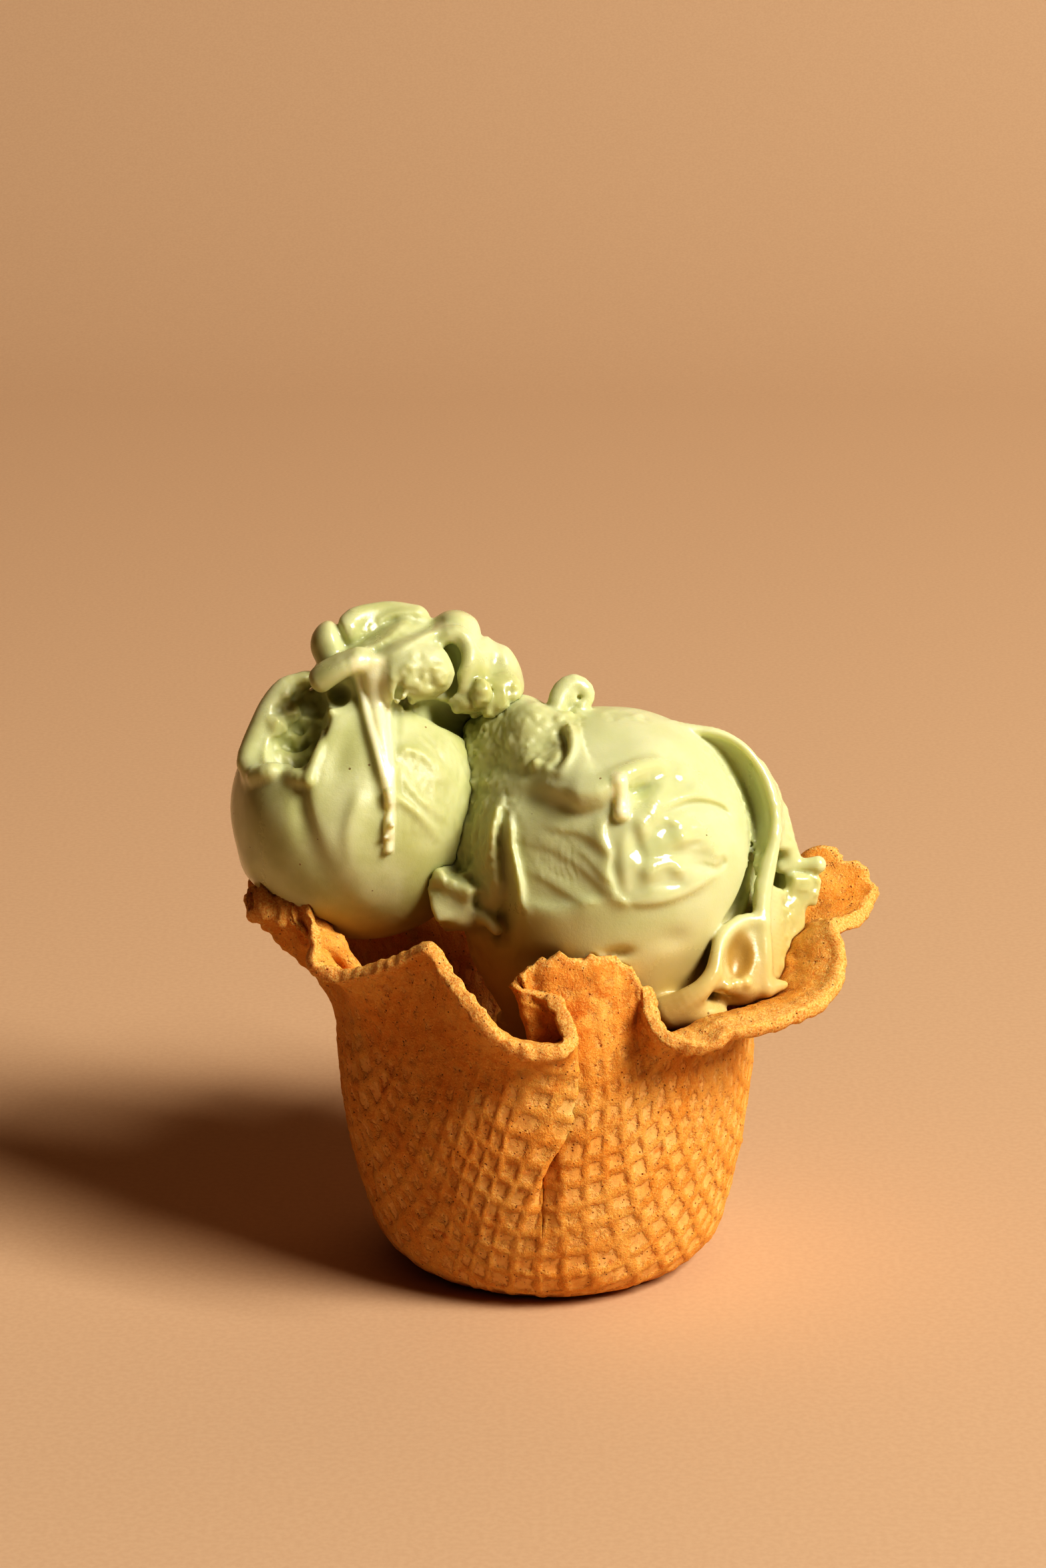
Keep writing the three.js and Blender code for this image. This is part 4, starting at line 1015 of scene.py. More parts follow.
    # the skirt: a sheet from the top down the right side, hollow between its edge and the ball
    clay.web([
        [(10.8, 23.6, 9), (15, 22.3, 7), (19.3, 19.8, 5), (22.8, 16.2, 3.6), (25.2, 11.9, 3.2),
            (26.7, 7.1, 3.6), (27.2, 2.2, 5), (26.8, -3.1, 8)],
        [(11.8, 24.6, 6), (17.2, 23.1, 4), (22, 20.9, 2.6), (25.5, 17.2, 1.8), (28, 12.1, 1.8),
            (29.4, 7.1, 2.8), (29.5, 2, 5), (28.7, -3.1, 8)],
        [(13.2, 24.9, 5), (17.7, 24.2, 4.6), (22.3, 23.4, 4.6), (26.5, 20.9, 4.8), (29.9, 16.8, 5.2),
            (31.9, 11.3, 6), (32.7, 5.5, 7), (31.9, 0.6, 8.2)],
    ], 1, 1)
    clay.ball((25.2, -2, -7), (9.2, 21.5, 10.5), 2)
    clay.stroke([(13.4, 24.5, 6, 0.5), (17.7, 24.2, 5.6, 0.7), (22.3, 23.4, 5.8, 0.8),
        (26.5, 21, 6.4, 0.85), (29.9, 16.8, 7, 0.85), (31.9, 11.9, 7.6, 0.85), (32.8, 7.1, 8.4, 0.95),
        (32.5, 2.8, 9, 1.3), (31.2, -2, 9.6, 1.6), (30.1, -6.8, 10.4, 1.7), (29.7, -10.6, 11.2, 1.6),
        (29.9, -14.9, 12, 1.4), (30.3, -19.7, 12.6, 1.4), (30.2, -23.4, 12.8, 1.5),
        (30.7, -25.9, 12.8, 1.8)], 1, out=True)
    clay.web([
        [(29.7, 16.8, 4.8), (31.8, 11.9, 5.4), (32.8, 7.1, 6), (32.3, 2.2, 7)],
        [(30.7, 16.2, 1.5), (32.8, 11.9, 2), (34.3, 7.1, 2.4), (35.1, 1.7, 2.6)],
    ], 1.3, 1.6)
    clay.stroke([(30.7, -25.7, 12.4, 1.6), (32.4, -25.4, 12, 1.5), (34.2, -25.1, 11.4, 1)], 1, out=True)
    clay.stroke([(33.1, 7.6, 1, 2.2), (34.3, 3.3, 0.5, 2.4), (35.6, -0.4, 0, 2.4)], 2, out=True)
    clay.stroke([(34.3, -2.4, 1, 1.6), (37.2, -2.1, 0.5, 1.25), (39.6, -2.1, 0.5, 1.3),
        (41.4, -2.1, 0.5, 1.75)], 1, out=True)
    clay.block((37.6, -6.7, -1.5), (3.4, 3, 3.8), 1, 1.2, (10, 24, -8))
    clay.stroke([(33.9, -5.2, 4.6, 0.9), (34.3, -9.3, 5, 1.2)], 0.8, take=True, out=True)
    clay.stroke([(36.2, -11.1, 0, 2.9), (35.5, -15.4, 1, 2.9), (34.4, -19.2, 2.5, 2.8),
        (33.1, -22.4, 4.5, 2.4)], 1.2, out=True)
    clay.web([
        [(30.3, -6.3, 8.6), (30.1, -11.7, 10), (30.4, -17, 11), (30.7, -22.9, 11.4)],
        [(32.2, -7.4, 5.5), (32.4, -12.7, 6.5), (32.4, -18.1, 7.5), (32.2, -23.4, 8.6)],
        [(34.8, -8.5, 1), (35.4, -13.8, 2), (34.8, -18.6, 3), (33.3, -22.9, 5)],
    ], 1.3, 1.6)
    # the crevice beside the ball
    clay.cleft([(28, 2.2, 9.6, 0.5), (27.7, -3.1, 10, 1), (26.2, -8.2, 11.5, 1.5),
        (23.9, -12.6, 13.4, 1.8), (21, -17.4, 16.4, 1.7), (18.7, -21.6, 18.6, 1.3),
        (16, -25.7, 20.6, 1)], 4.4, out=True)
    # the loop that hangs to the front round a thin hollow, painted brown as shade
    clay.stroke([(29.7, -13, 12, 1.4), (26.9, -12.6, 13.2, 1.4), (24, -13.8, 15, 1.4),
        (21.8, -16.4, 16.8, 1.4), (20.9, -19.6, 18.2, 1.5), (20, -22.7, 19.2, 1.7),
        (17.9, -25.5, 19.8, 2), (15, -27.7, 19.4, 2.5), (11.8, -29.9, 18, 3)], 1.2, out=True)
    clay.ball((15, -30.4, 14), (8, 3.4, 6), 2.5)
    clay.web([
        [(25.2, -13.8, 13.4), (22.7, -17, 15.6), (21.6, -20.8, 17.2), (20.4, -24.5, 18)],
        [(26.8, -14.3, 12.4), (25.5, -17.5, 13.6), (24.8, -21.3, 14.8), (23.9, -25.3, 15.8)],
        [(29.4, -13.8, 11.4), (29.7, -17, 11.8), (29.9, -20.8, 12.4), (29.7, -25.3, 12.8)],
    ], 1.7, 1)
    clay.ball((25.6, -19.7, 9.5), (4.6, 7.4, 4.6), 1, turn=-12)
    clay.ball((25.5, -19.4, 18.6), (3.4, 5.6, 4.4), 0.9, take=True, turn=-14, lean=-8)
    clay.ball((24.7, -26.6, 11), (5.5, 2.6, 4), 1.6)
    for right, up, size in (
            (22.5, -25.1, 0.9), (24.4, -24.7, 1), (26.5, -24.5, 1.1), (21.5, -27.2, 1.1)):
        clay.bead(right, up, -0.2, size, 0.8)
    # the chunk and nub at the left, where the scoops meet
    clay.block((-28.6, -6.7, 10.2), (4.2, 3.4, 4.2), 0.7, 1, (22, -30, -16))
    clay.block((-29.8, -9.3, 9.4), (3.9, 4, 4.2), 0.9, 1.2, (-14, -12, 16))
    clay.ball((-27.2, -11.9, 9.5), (4.4, 2.8, 4.4), 1.6)
    clay.stroke([(-24.2, -11.9, 13.4, 1.6), (-22.7, -13, 15, 1.5), (-21.3, -14.4, 15.6, 1.2)],
        1.2, out=True)
    clay.stroke([(-22.1, -14.2, 17.5, 0.7), (-20.9, -15.4, 17, 0.8)], 0.7, take=True, out=True)
    clay.bead(-2.4, -20.3, -0.5, 1.5, 1.3)

    # rough places: the crater, the skirt's torn outer side and the ball's edge at the skirt
    def crags(p):
        share = np.maximum(0.7 * patch(p, -13.3, 22.6, 6.5, 8.5, 0.6), patch(p, -7.2, 26.9, 3.4, 3.0))
        share = np.maximum(share, 0.8 * ramp(p[:, 0], -20, -24) * ramp(p[:, 1], -12, -4))
        share = np.maximum(share, ramp(p[:, 0], 33, 35) * ramp(p[:, 1], -3, -5))
        return np.maximum(share, 0.45 * patch(p, 3.3, 26.9, 7, 2.2))

    def edges(p):
        share = np.exp(-((np.hypot(p[:, 0], p[:, 1]) - 28.4) / 1.2) ** 2) * ramp(p[:, 0], 16, 22)
        share = share * ramp(p[:, 2], 2, 6) * ramp(p[:, 1], -14, -8)
        return share + 0.6 * ramp(p[:, 0], 31.5, 33.5) * ramp(p[:, 1], -2, 4)

    def grains(p):
        share = 1.6 * ramp(p[:, 0], -14, -22) * ramp(p[:, 1], -12, 0)
        return np.maximum(share, 0.5 * patch(p, -9.6, 0.1, 8, 8))

    def pools(p):
        return patch(p, 8.5, -0.5, 11.5, 9, 0.6)

    def broken(p):
        return ramp(p[:, 0], -22, -25) * ramp(p[:, 1], 2, -2)

    clay.roughen(3.2, 0.6, broken, seed=20)
    clay.roughen(2.2, 0.45, crags, seed=21)
    clay.roughen(1, 0.26, crags, seed=22)
    clay.roughen(1, 0.32, edges, seed=23)
    clay.roughen(0.9, 0.17, grains, seed=24)
    clay.roughen(2.8, 0.34, pools, seed=26)
    clay.roughen(6, 0.16, seed=25)
    # the side away from the front keeps the broad, soft marks of the spatula
    clay.roughen(10, 0.7, away_side, seed=27, stretch=(1, 2.2, 1))
    return clay


right_clay = right_scoop()
cut_clear(right_clay, cup_points, cup_faces, WAFER_GAP)
right_points, right_faces = clay_surface(right_clay)
right_local = right_clay.to_face(right_points)
right_marks = {
    "melt": np.maximum.reduce([
        patch(right_local, 9, 0, 14, 12, 0.6),
        patch(right_local, 9, 14, 12, 6),
        0.8 * patch(right_local, 16, -24, 12, 9),
        0.7 * ramp(right_local[:, 0], 26, 29),
        0.6 * patch(right_local, -5, 31, 5, 4),
        0.5 * patch(right_local, -12, -10, 12, 3),
    ]),
    # darker in the crater, the skirt's torn side and the flank between the scoops: partly rough tone,
    # partly painted shade
    "crag_and_shade": np.maximum.reduce([
        patch(right_local, -13, 22, 8, 9),
        patch(right_local, -7, 26, 3.4, 4),
        ramp(right_local[:, 0], 33, 35) * ramp(right_local[:, 1], -3, -5),
        0.8 * ramp(right_local[:, 0], -17, -24) * ramp(right_local[:, 1], -12, 0),
    ]),
    # painted light: the drip under the fold is made paler
    "pale": beside_line(right_local, [(1.9, 14.6, 1.6), (2.3, 7.3, 1.8)]),
    # thin: painted shade in the concave hollow behind the loop
    "thin": patch(right_local, 25.5, -19.2, 3.8, 6, 0.6) * ramp(right_local[:, 2], 17.5, 15),
}
right = mesh_object("gelato_scoop_right_piece", right_points, right_faces, right_marks)
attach(right, "root")
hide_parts("gelato_scoop_right")

RIGHT_GREEN = srgb(205, 211, 168)
CLOUDY = srgb(212, 217, 180)
# paler: painted light on the drip and the strand
PALE_AND_PAINTED_LIGHT = srgb(234, 234, 202)
# darker for rough places: partly their own tone, partly painted shade
CRAG_TONE_AND_SHADE = srgb(184, 186, 124)
# painted shade in the loop's hollow
HOLLOW_SHADE_BROWN = srgb(164, 140, 72)
# painted warm light bounced from the wafer
WAFER_BOUNCE_LIGHT = srgb(214, 168, 92)
SPECK_DARK, SPECK_RED = srgb(96, 74, 40), srgb(150, 84, 44)


def gelato_material(name, tone):
    shader = Shader(name)
    melt = shader.attribute("melt")
    cloud = shader.noise(11, 3, 0.5)
    fine = shader.noise(0.75, 4, 0.6)
    grit = shader.noise(0.32, 3, 0.6)
    colour = shader.mix(shader.span(cloud, 0.3, 0.7), tone, CLOUDY)
    # pale is painted light, crag partly painted shade, thin painted shade
    for mark, share, tint in (("pale", 0.8, PALE_AND_PAINTED_LIGHT), ("crag_and_shade", 0.35, CRAG_TONE_AND_SHADE),
                              ("thin", 0.8, HOLLOW_SHADE_BROWN)):
        colour = shader.mix(shader.times(shader.attribute(mark), share), colour, tint)

    # painted warm light bounced from the wafer, stronger lower down near the cup
    height = shader.node("ShaderNodeSeparateXYZ", Vector=shader.place()).outputs["Z"]
    colour = shader.mix(shader.span(height, 84 * MM, 62 * MM, 0, 0.5), colour, WAFER_BOUNCE_LIGHT)

    # tiny specks of nut skin, in some of the places where one could be
    distance, chance = shader.spots(3.4)
    chance = shader.node("ShaderNodeSeparateColor", Color=chance).outputs
    size = shader.span(chance["Green"], 0, 1, 0.03, 0.075)
    speck = shader.times(shader.math("LESS_THAN", distance, size), shader.span(chance["Red"], 0.70, 0.72))
    speck_colour = shader.mix(chance["Blue"], SPECK_DARK, SPECK_RED)
    colour = shader.mix(shader.times(speck, 0.6), colour, speck_colour)

    # melted places are smooth and wet, the rest is matt with fine ice grain
    rough = shader.minus(0.46, shader.times(melt, 0.35))
    rough = shader.plus(rough, shader.times(shader.span(fine, 0.3, 0.7, -0.5, 0.5), 0.1))
    grain = shader.plus(shader.times(fine, 0.6), shader.times(grit, 0.5))
    strength = shader.minus(0.42, shader.times(melt, 0.34))
    shader.cover(Base_Color=colour, Roughness=rough, Subsurface_Weight=0.75,
                 Subsurface_Radius=(1, 0.85, 0.5), Subsurface_Scale=3 * MM,
                 Specular_IOR_Level=0.62, Normal=shader.bump(grain, strength, 0.16))
    return shader.material


right.data.materials.append(gelato_material("pistachio_gelato", RIGHT_GREEN))

# ---- left scoop ------------------------------------------------------------------------------
# The smaller ball leans on the cup's left side and on the other scoop. A second, torn layer
# lies over its top like a cap: it hangs down the front in a long strand with a drip, has a
# finger and lobes at the left, and shelves and crags at the right over a dark hollow.
LEFT_MIDDLE = (-37.2, 3, 91.8)
LEFT_RADIUS = 25.6


def left_scoop():
    """The left ball with its wrap, cap, hollows and strand, in the order of their making."""
    clay = Clay(LEFT_MIDDLE, (-29, -30, -30), (38, 45, 30))
    clay.ball((0, 0, 0), (LEFT_RADIUS,) * 3, 1)
    clay.roughen(15, 0.4, seed=31)

    # the sheet that wraps the front: its edge runs down the left like a petal's
    clay.fold([(5.3, -19.6, 0.2, 2.6, 5), (0.8, -16.6, 0.4, 2.4, 5), (-3, -12.6, 0.5, 2.2, 6),
        (-5.6, -7.5, 0.6, 1.9, 6), (-7.4, -2.5, 0.8, 1.5, 6), (-8.7, 2.6, 1.1, 1.2, 6),
        (-8.9, 6.6, 1.1, 0.8, 6), (-7.6, 10.7, 1, 0.6, 5), (-6.1, 15.2, 0.9, 0.6, 5),
        (-5.2, 19, 0.7, 0.6, 4)])
    clay.fold([(-2.8, -15.1, -0.3, 3.2, 2.2), (-6.1, -10.1, -0.5, 3.2, 2), (-8.1, -5.5, -0.7, 3, 1.6),
        (-9.4, -0.5, -0.9, 2.6, 1.2), (-9.9, 4.1, -0.5, 2.2, 1)])
    clay.swell(-16.4, -1, 1.2, 6.5, 8.5, 8)
    clay.swell(-22, -11.6, 0.8, 3, 3.5)
    clay.swell(-3.3, 9.1, -0.6, 2.6, 7, -12)
    clay.fold([(-0.5, -10.6, 0.2, 1.8, 2.6), (-1.2, -6.5, 0.6, 1.7, 2.6), (-0.8, -2.5, 0.8, 1.6, 2.6),
        (0.3, 1.1, 0.7, 1.5, 2.4), (1, 4.1, 0.2, 1.4, 2)])
    # soft ridges at the right of the strand
    clay.fold([(7.6, 10.8, 0.3, 0.8, 1.4), (9.3, 11.8, 0.7, 0.9, 1.5), (11.6, 11.4, 0.7, 0.9, 1.4),
        (14.4, 9.4, 0.5, 0.9, 1.6), (16.9, 7.1, 0.2, 1, 2)])
    clay.fold([(7.5, 3, 0.5, 0.5, 0.7), (9.3, 1.6, 0.7, 0.6, 1), (11.9, -0.6, 0.6, 0.7, 1.2),
        (15.4, -4.2, 0.3, 0.9, 1.6)])
    clay.fold([(8.8, 7.6, 0.2, 0.8, 1), (10.4, 4.6, 0.4, 0.9, 1.2), (12.9, 1.6, 0.4, 0.9, 1.2),
        (16.4, -1, 0.2, 1, 1.4)])
    clay.swell(18.4, 12.2, 0.5, 4, 5, 0)
    clay.press()

    # the deep hollow at the left and the flap down its side
    clay.stroke([(-10.9, 24.9, 8, 2), (-14.3, 23.5, 8.4, 2.4), (-16.9, 20.3, 9, 2.5),
        (-18.8, 16.2, 10, 2.5), (-20.4, 12.2, 11, 2.5), (-21, 9.1, 12.4, 2.6), (-19.7, 6.7, 14, 2.2)],
        1.8, out=True)
    clay.ball((-11.3, 15.5, 17.5), (5.6, 9, 9.4), 1.2, take=True, turn=-16)
    clay.ball((-9.7, 20.8, 14.5), (4.2, 4.6, 8), 0.8, take=True)
    clay.ball((-14.1, 12.2, 17), (4, 4.4, 5.4), 1.2, take=True)
    for right, up, lift, size in (
            (-13.1, 19, 0, 1.5), (-9.3, 14.7, 0, 1.3), (-12.6, 13.2, 0, 1.4), (-14.1, 9.6, -0.2, 1.4),
            (-8.6, 10.7, -0.2, 1.3), (-15.9, 16.2, -0.3, 1.3), (-10.9, 9.1, -0.3, 1.3)):
        clay.bead(right, up, lift, size, 1.5)
    clay.stroke([(-19.7, 6.5, -0.2, 1.6), (-16.7, 7.2, 0, 1.7), (-14.1, 7.2, 0, 1.6),
        (-11.6, 6, -0.2, 1.5), (-9.3, 5.8, -0.4, 1.3)], 1.4)
    clay.stroke([(-5, 18.8, 0, 0.8), (-5.7, 15.7, -0.1, 0.8), (-6.9, 11.9, -0.2, 0.9),
        (-8.3, 7.9, -0.3, 1), (-8.9, 5.4, -0.4, 1)], 0.9)

    # the cap
    clay.ball((10, 26.4, 2), (19, 10.4, 15.5), 2)
    clay.ball((18.6, 31, 4), (7, 7.2, 8), 2)
    clay.ball((24.6, 25.2, 4), (7.4, 7.6, 8.6), 2)
    clay.ball((5.4, 31.6, 3), (9.6, 6.8, 8.5), 2.2)
    clay.ball((17, 16, -3), (9, 8, 11), 3)
    # lobes at its upper left
    clay.ball((-5.7, 32.6, 8), (3.9, 4.6, 4.6), 1.2, turn=-14)
    clay.stroke([(-2.3, 35.1, 9, 2.7), (-0.8, 36.9, 7.6, 2.6), (2.3, 38, 6, 2.4), (6.3, 38.6, 5, 2.4),
        (10.9, 38, 5, 2.2)], 1.6, out=True)
    clay.fold([(-2.7, 31.3, -0.3, 1, 1), (-3.4, 33.6, -1, 1, 1), (-4.2, 35.9, -1, 0.9, 0.9),
        (-4.8, 37.4, -0.5, 0.8, 0.8)])
    # pulled ridges that run up to the right
    clay.fold([(-10.1, 25.7, 0.6, 1.6, 0.9), (-5.8, 27.7, 1.5, 1.8, 0.9), (-1.8, 29.3, 1.6, 1.8, 0.9),
        (2.3, 31.3, 1.4, 1.7, 0.8), (5.6, 33.3, 1.1, 1.5, 0.8), (9.3, 36.4, 0.5, 1.4, 0.9)])
    clay.fold([(-3.3, 30.3, -0.3, 0.8, 0.8), (0.3, 32.6, -1.1, 0.9, 1), (3.8, 35.2, -1, 0.9, 1),
        (6.8, 36.9, -0.4, 0.8, 0.8)])
    clay.fold([(0.3, 28.1, 0.7, 1.5, 0.8), (3.3, 28.7, 1.4, 1.7, 0.9), (6.8, 30.1, 1.5, 1.7, 0.9),
        (10.6, 32.3, 1.3, 1.6, 0.8), (13.9, 34.1, 1.2, 1.4, 0.9), (16.9, 35.1, 0.8, 1.3, 1)])
    clay.fold([(2.3, 29.5, -0.2, 0.7, 0.8), (5.8, 31.3, -0.9, 0.8, 0.9), (9.3, 33.3, -0.9, 0.8, 0.9),
        (12.9, 35.4, -0.7, 0.8, 0.9), (15.9, 36.9, -0.3, 0.8, 0.8)])
    clay.fold([(6.3, 27.4, -0.3, 0.7, 0.9), (9.3, 29.1, -1.2, 0.8, 1), (12.6, 31, -1.3, 0.8, 1),
        (15.7, 32.5, -0.8, 0.8, 0.9)])
    clay.fold([(4.3, 37.4, 0.2, 0.8, 0.8), (7.3, 38.5, 0.6, 0.9, 0.9), (10.4, 38.8, 0.5, 0.9, 0.9),
        (12.9, 38.4, 0.2, 0.8, 0.8)])
    clay.swell(18.9, 38, 1.3, 4.2, 2.6, -14)
    clay.fold([(23.7, 36.9, -0.4, 0.6, 0.6), (24.3, 35.2, -1.3, 0.7, 0.7),
        (23.7, 33.6, -0.6, 0.7, 0.7)])
    clay.press()
    # the dark hollow at the right, under an arch
    clay.cleft([(17.2, 31.9, 0.4, 1.4), (18.7, 29.8, -0.4, 1.9), (19, 26.8, -0.6, 2.1),
        (18, 24, -0.2, 1.9), (16.5, 22.3, 0.4, 1.5)], 2.8)
    clay.stroke([(15.7, 32.5, -0.4, 1.3), (17.8, 34, 0.1, 1.6), (19.8, 34, 0.4, 1.7),
        (21.4, 32, 0.4, 1.7), (21.7, 28.8, 0.2, 1.6), (21, 26.2, -0.2, 1.6), (21, 23.8, -0.4, 1.4)], 1)
    # courses of the strand down the front, before the shelf covers their upper ends
    edge = clay.trace([(-0.1, 28.4, 0.6, 1.2), (0.4, 26.2, 0.9, 1.1), (1, 22.8, 1, 1),
        (1.7, 19.2, 1, 1), (2.7, 15.7, 0.9, 1), (3.8, 12.2, 1.1, 1), (4.9, 8.1, 0.9, 1),
        (6, 4.6, 0.6, 1), (6.6, 1.8, 0.4, 0.85)])
    middle = clay.trace([(2.8, 28.2, 0.2, 1.7), (2.9, 25.8, 0.6, 1.9), (3.3, 22.8, 0.5, 1.8),
        (3.8, 19.2, 0.5, 1.7), (4.4, 15.7, 0.5, 1.5), (5.1, 12.2, 0.5, 1.3), (5.9, 8.1, 0.5, 1.1),
        (6.5, 4.6, 0.5, 0.95), (6.7, 1.8, 0.4, 0.8)])
    border = clay.trace([(4.4, 27.6, -0.6, 1.8), (4.8, 25.8, -0.2, 1.7), (5.2, 22.8, 0.1, 1.6),
        (5.6, 19.2, 0, 1.5), (6, 15.7, 0, 1.3), (6.5, 12.2, 0, 1.1), (6.8, 8.1, 0.3, 1),
        (7, 4.6, 0.3, 0.85), (6.9, 1.8, 0.3, 0.8)])
    # the ragged shelf left of the hollow, and the round hole in it
    clay.ball((9.6, 28.4, 14), (6, 4.4, 5), 3)
    clay.ball((11.6, 26.8, 15.6), (5.8, 4, 4.2), 3)
    clay.ball((15.2, 25.7, 15.8), (3.2, 3.2, 4), 1.2)
    clay.ball((12.1, 23.3, 16.8), (3, 1.9, 3), 1.4)
    clay.ball((7.6, 24.5, 16.8), (3.2, 4.4, 3.6), 2.2)
    clay.cleft([(11.4, 19.8, 0.8, 1.2), (14.1, 19.5, 0.4, 2.1), (17.9, 17.8, 0.4, 2.5),
        (22.5, 15.5, 0.4, 2.3)], 2.2, 1.2)
    clay.stroke([(9.3, 20.6, 23, 1.5), (9.3, 20.6, clay.skin(9.3, 20.6) - 2.6, 1.3)],
        0.7, take=True, out=True)
    for right, up, size in (
            (7.8, 21, 0.8), (8.8, 21.9, 0.8), (10.5, 21.2, 0.8), (10.9, 19.7, 0.7), (8.2, 19.6, 0.7)):
        clay.bead(right, up, 0, size, 0.6)
    # crags, crumbs and the bead at the right
    clay.ball((28, 23, 9.5), (4.2, 4, 4.4), 1.6)
    clay.ball((26.5, 20.3, 10.2), (3.8, 2.6, 4), 1.4)
    clay.ball((23.2, 27.1, 11.2), (2.6, 3.8, 3), 1.4)
    clay.ball((21.2, 20.8, 11.8), (2.8, 2.2, 3), 1.2)
    clay.ball((23.9, 22.7, 14.4), (2, 3.1, 2.3), 0.5, turn=8)
    clay.swell(26.5, 28.3, -1.2, 2, 2.4, 0)
    clay.swell(28.8, 31.3, 0.5, 1.6, 2.6, 0)
    clay.swell(25, 30.9, 0.5, 1.8, 1.6, 0)
    clay.swell(31.1, 23.8, 0.6, 1.6, 2.2, 0)
    clay.press()
    for right, up, size in (
            (25.1, 19, 0.9), (26.9, 18.2, 1.1), (28.7, 18.3, 0.9), (22.5, 18.6, 0.9), (19.2, 19.6, 1)):
        clay.bead(right, up, -0.1, size, 0.6)
    # the strand down the front: broad at the top, with a crisp lifted edge at its left
    clay.tubes([edge, middle, border], 1.8)
    clay.cleft([(8.3, 24.3, 0.2, 0.6), (7.7, 19.2, 0.4, 0.7), (7.7, 14.2, 0.4, 0.7),
        (7.7, 9.6, 0.4, 0.5)], 0.4, 1.2)
    clay.stroke([(-3.8, 27.5, -0.2, 1.8), (-1.8, 28.4, -0.1, 1.7), (0.2, 28.3, 0.3, 1.5)], 1.2)
    clay.stroke([(6.5, 3.1, 0.3, 0.9), (6.6, 1.6, 0.3, 0.75), (6.6, -0.1, 0.3, 0.6),
        (6.4, -2.2, 0.5, 1), (6.4, -4.4, 0.5, 1.1), (6.3, -6, 0.3, 0.75), (6.2, -7.7, 0.4, 1)], 0.5)
    clay.bead(7, -3, 0.5, 0.6, 0.4)
    clay.bead(5.8, -5.3, 0.3, 0.5, 0.4)
    # the finger under the lobes, and the dark gap below it
    clay.ball((-4.2, 22.3, 15.5), (3, 2.6, 7), 0.6, take=True)
    clay.ball((-2.3, 21.5, 18.5), (2.6, 2.6, 3), 0.8, take=True)
    clay.stroke([(0.3, 29.3, 17.4, 2.2), (-2.8, 28.2, 16.6, 2.4), (-5.8, 26.7, 16, 2.4),
        (-7.2, 25.7, 15.6, 2.2)], 2, out=True)
    clay.stroke([(0, 28.4, 19, 1.6), (-2.5, 27.3, 18.8, 1.8), (-5.1, 25.9, 18, 2),
        (-6.9, 24.7, 17.2, 2.1)], 1.2, out=True)

    def crags(p):
        share = patch(p, -11.6, 15.7, 7, 10, 0.7) * ramp(p[:, 2], 18.5, 16)
        share = np.maximum(share, patch(p, 27, 21.8, 8, 7))
        return np.maximum(share, 1.1 * patch(p, 12.4, 26.1, 7.5, 5))

    def stretched(p):
        share = ramp(p[:, 0], 8, 10) * ramp(p[:, 1], 17, 13) * ramp(p[:, 1], -10, -5) * ramp(p[:, 2], 2, 6)
        return np.maximum(share, 0.6 * patch(p, 5, 31, 14, 8))

    clay.roughen(2.4, 0.5, crags, seed=41)
    clay.roughen(1.1, 0.34, crags, seed=42)
    clay.roughen(0.9, 0.13, stretched, seed=43, stretch=(1, 1.8, 1))
    clay.roughen(6, 0.16, seed=45)
    clay.roughen(9, 0.7, away_side, seed=47, stretch=(1, 2.2, 1))
    return clay


left_clay = left_scoop()
cut_clear(left_clay, cup_points, cup_faces, WAFER_GAP)
cut_clear(left_clay, right_points, right_faces, SCOOP_GAP)
left_points, left_faces = clay_surface(left_clay)
left_local = left_clay.to_face(left_points)
left_marks = {
    "melt": np.maximum.reduce([
        0.7 * patch(left_local, -4, 33, 12, 9),
        0.8 * ramp(left_local[:, 0], -14, -21),
        0.7 * patch(left_local, 25, 24, 8, 8),
        0.4 * patch(left_local, 5, 12, 4, 20),
        0.8 * patch(left_local, 18, 36, 6, 5),
    ]),
    # darker in the deep hollow at the left, the crags and below the cap: partly rough tone, partly painted
    # shade
    "crag_and_shade": np.maximum.reduce([
        patch(left_local, -11.5, 14.5, 7, 10) * ramp(left_local[:, 2], 19, 15),
        patch(left_local, 27, 22.5, 9, 8),
        patch(left_local, 13.5, 25.5, 6, 5),
        0.8 * ramp(left_local[:, 0], 7.5, 10) * ramp(left_local[:, 1], 17, 13),
    ]),
    # the strand is paler, partly its own airy colour and partly painted light
    "pale": beside_line(left_local, [
        (2.3, 28.3, 3.6), (3.2, 22.8, 3.1), (3.8, 19.2, 2.8), (4.4, 15.7, 2.4),
        (5.2, 12.2, 2), (5.9, 8.1, 1.6), (6.6, 1.8, 1.2), (6.3, -7.7, 1.2),
    ]),
    "thin": np.zeros(len(left_local)),
}
left = mesh_object("gelato_scoop_left_piece", left_points, left_faces, left_marks)
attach(left, "root")
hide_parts("gelato_scoop_left")
# a darker copy of the same green: painted shade over the left scoop
LEFT_SHADED_GREEN = srgb(193, 198, 150)
left.data.materials.append(gelato_material("pistachio_gelato_left", LEFT_SHADED_GREEN))

# ---- table, light and camera -------------------------------------------------------------------
# A plain pale table top that sweeps up far behind the cup. One soft square lamp at the right
# and front gives the warm light and the long shadow, and a weak sky fills in.
TABLE_WIDTH = 6000
TABLE_FRONT = -1500
SWEEP_START = 900
SWEEP_RADIUS = 700
SWEEP_TOP = 2400
TABLE_LIGHT, TABLE_DARK = srgb(209, 184, 156), srgb(205, 179, 151)


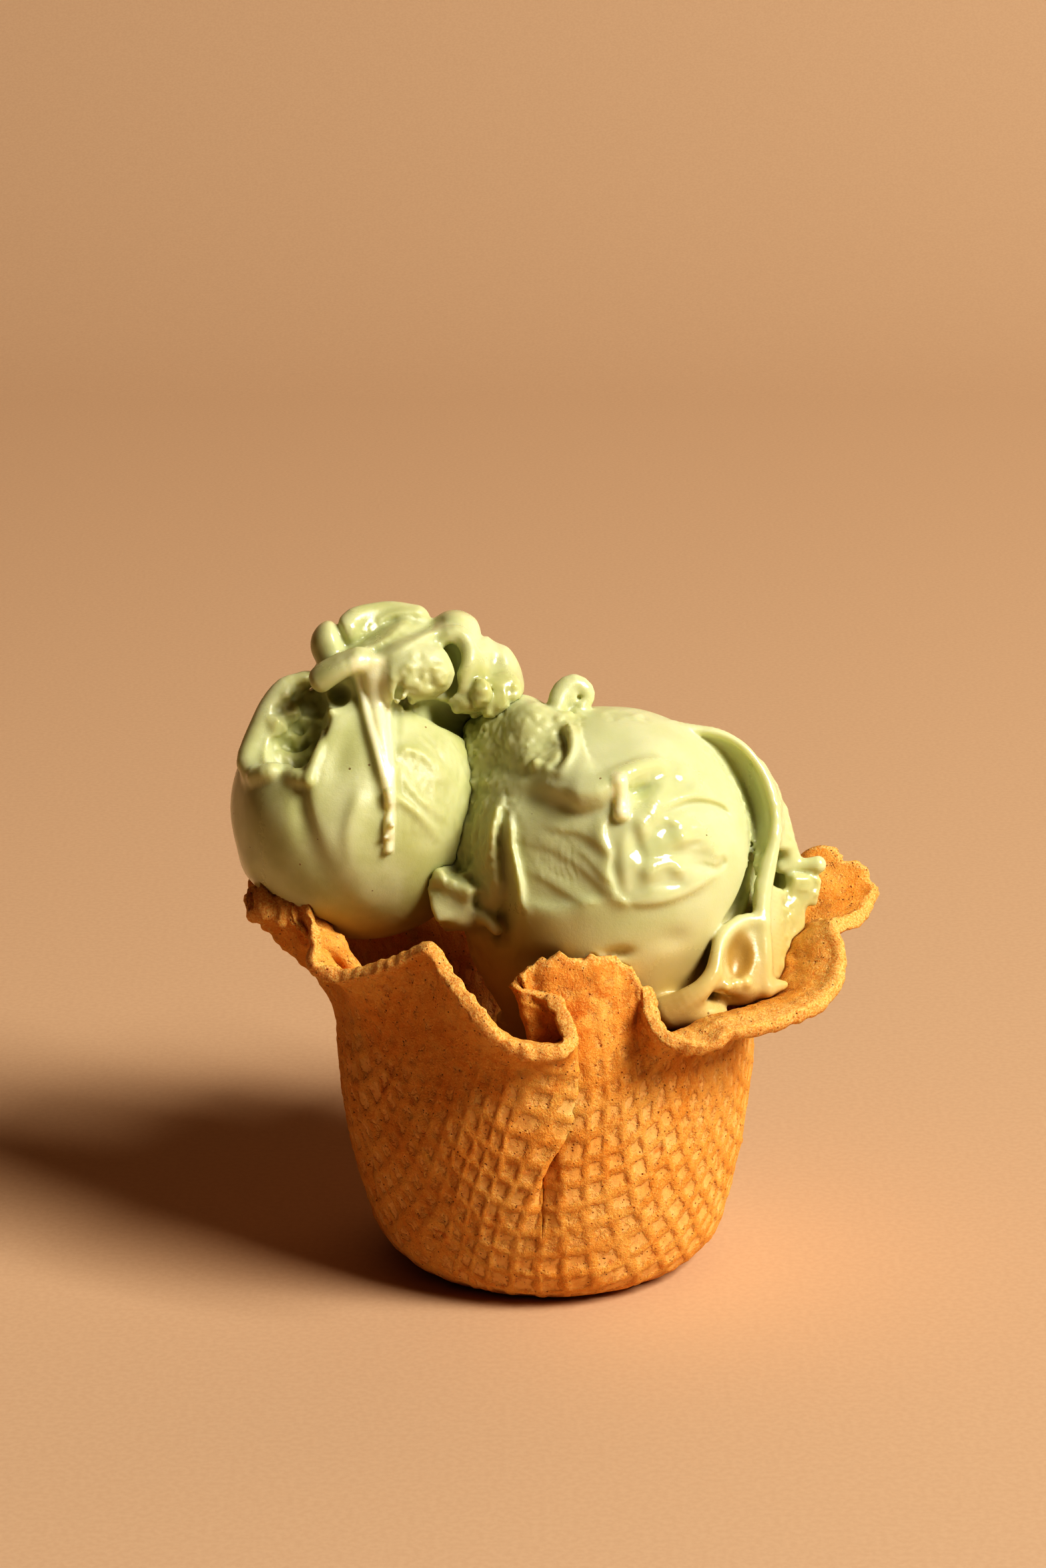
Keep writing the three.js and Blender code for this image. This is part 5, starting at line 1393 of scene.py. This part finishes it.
def build_table():
    """The table top and its sweep, as one sheet across."""
    turn = np.linspace(0, np.pi / 2, 25)
    curve = np.column_stack([SWEEP_START + SWEEP_RADIUS * np.sin(turn), SWEEP_RADIUS * (1 - np.cos(turn))])
    flat = np.column_stack([np.linspace(TABLE_FRONT, SWEEP_START, 13)[:-1], np.zeros(12)])
    line = np.concatenate([flat, curve, [[SWEEP_START + SWEEP_RADIUS, SWEEP_TOP]]])
    count = len(line)
    points = np.concatenate([np.column_stack([np.full(count, x), line])
                             for x in (-TABLE_WIDTH / 2, TABLE_WIDTH / 2)])
    faces = [(i, count + i, count + i + 1, i + 1) for i in range(count - 1)]
    table = mesh_object("table_top", points, np.array(faces))
    shader = Shader("pale_table")
    shade = shader.span(shader.noise(1.2, 3, 0.5), 0.3, 0.7)
    shader.cover(Base_Color=shader.mix(shade, TABLE_DARK, TABLE_LIGHT), Roughness=0.8)
    table.data.materials.append(shader.material)
    return table


build_table()

# The lamp stands this far round to the right from the front and this far up, in degrees.
LAMP_ROUND, LAMP_UP = np.radians(57), np.radians(42)
LAMP_DISTANCE = 3.4
LAMP_SIZE = 1.4
LAMP_POWER = 112
LAMP_COLOUR = (1.0, 0.94, 0.87)
LAMP_AIM = (0, 0, 0.07)
lamp_data = bpy.data.lights.new("key_lamp", "AREA")
lamp_data.shape = "RECTANGLE"
lamp_data.size = LAMP_SIZE
lamp_data.size_y = LAMP_SIZE
lamp_data.energy = LAMP_POWER
lamp_data.color = LAMP_COLOUR
lamp = bpy.data.objects.new("key_lamp", lamp_data)
lamp_side = np.array([np.sin(LAMP_ROUND), -np.cos(LAMP_ROUND), 0]) * np.cos(LAMP_UP)
lamp.location = np.array(LAMP_AIM) + (lamp_side + (0, 0, np.sin(LAMP_UP))) * LAMP_DISTANCE
lamp.rotation_euler = (np.pi / 2 - LAMP_UP, 0, LAMP_ROUND)
bpy.context.collection.objects.link(lamp)

SKY_COLOUR = (1.0, 0.46, 0.16, 1)
SKY_STRENGTH = 0.05
world = bpy.data.worlds.new("studio")
world.use_nodes = True
sky = world.node_tree.nodes["Background"].inputs
sky["Color"].default_value = SKY_COLOUR
sky["Strength"].default_value = SKY_STRENGTH
bpy.context.scene.world = world
bpy.context.scene.view_settings.view_transform = "Standard"
bpy.context.scene.view_settings.look = "Very High Contrast"

# The camera looks at the cup from the front and a little above, at eye level of one who sits.
IMAGE_HEIGHT = 2350
FOCAL_PIXELS = 5848
FILM_HEIGHT = 36
CAMERA_PLACE = (-0.00516, -0.73453, 0.31693)
CAMERA_PITCH = 16.6
camera_data = bpy.data.cameras.new("camera")
camera_data.sensor_fit = "VERTICAL"
camera_data.sensor_height = FILM_HEIGHT
camera_data.lens = FOCAL_PIXELS / IMAGE_HEIGHT * FILM_HEIGHT
camera = bpy.data.objects.new("camera", camera_data)
camera.location = CAMERA_PLACE
camera.rotation_euler = (np.radians(90 - CAMERA_PITCH), 0, 0)
bpy.context.collection.objects.link(camera)
bpy.context.scene.camera = camera
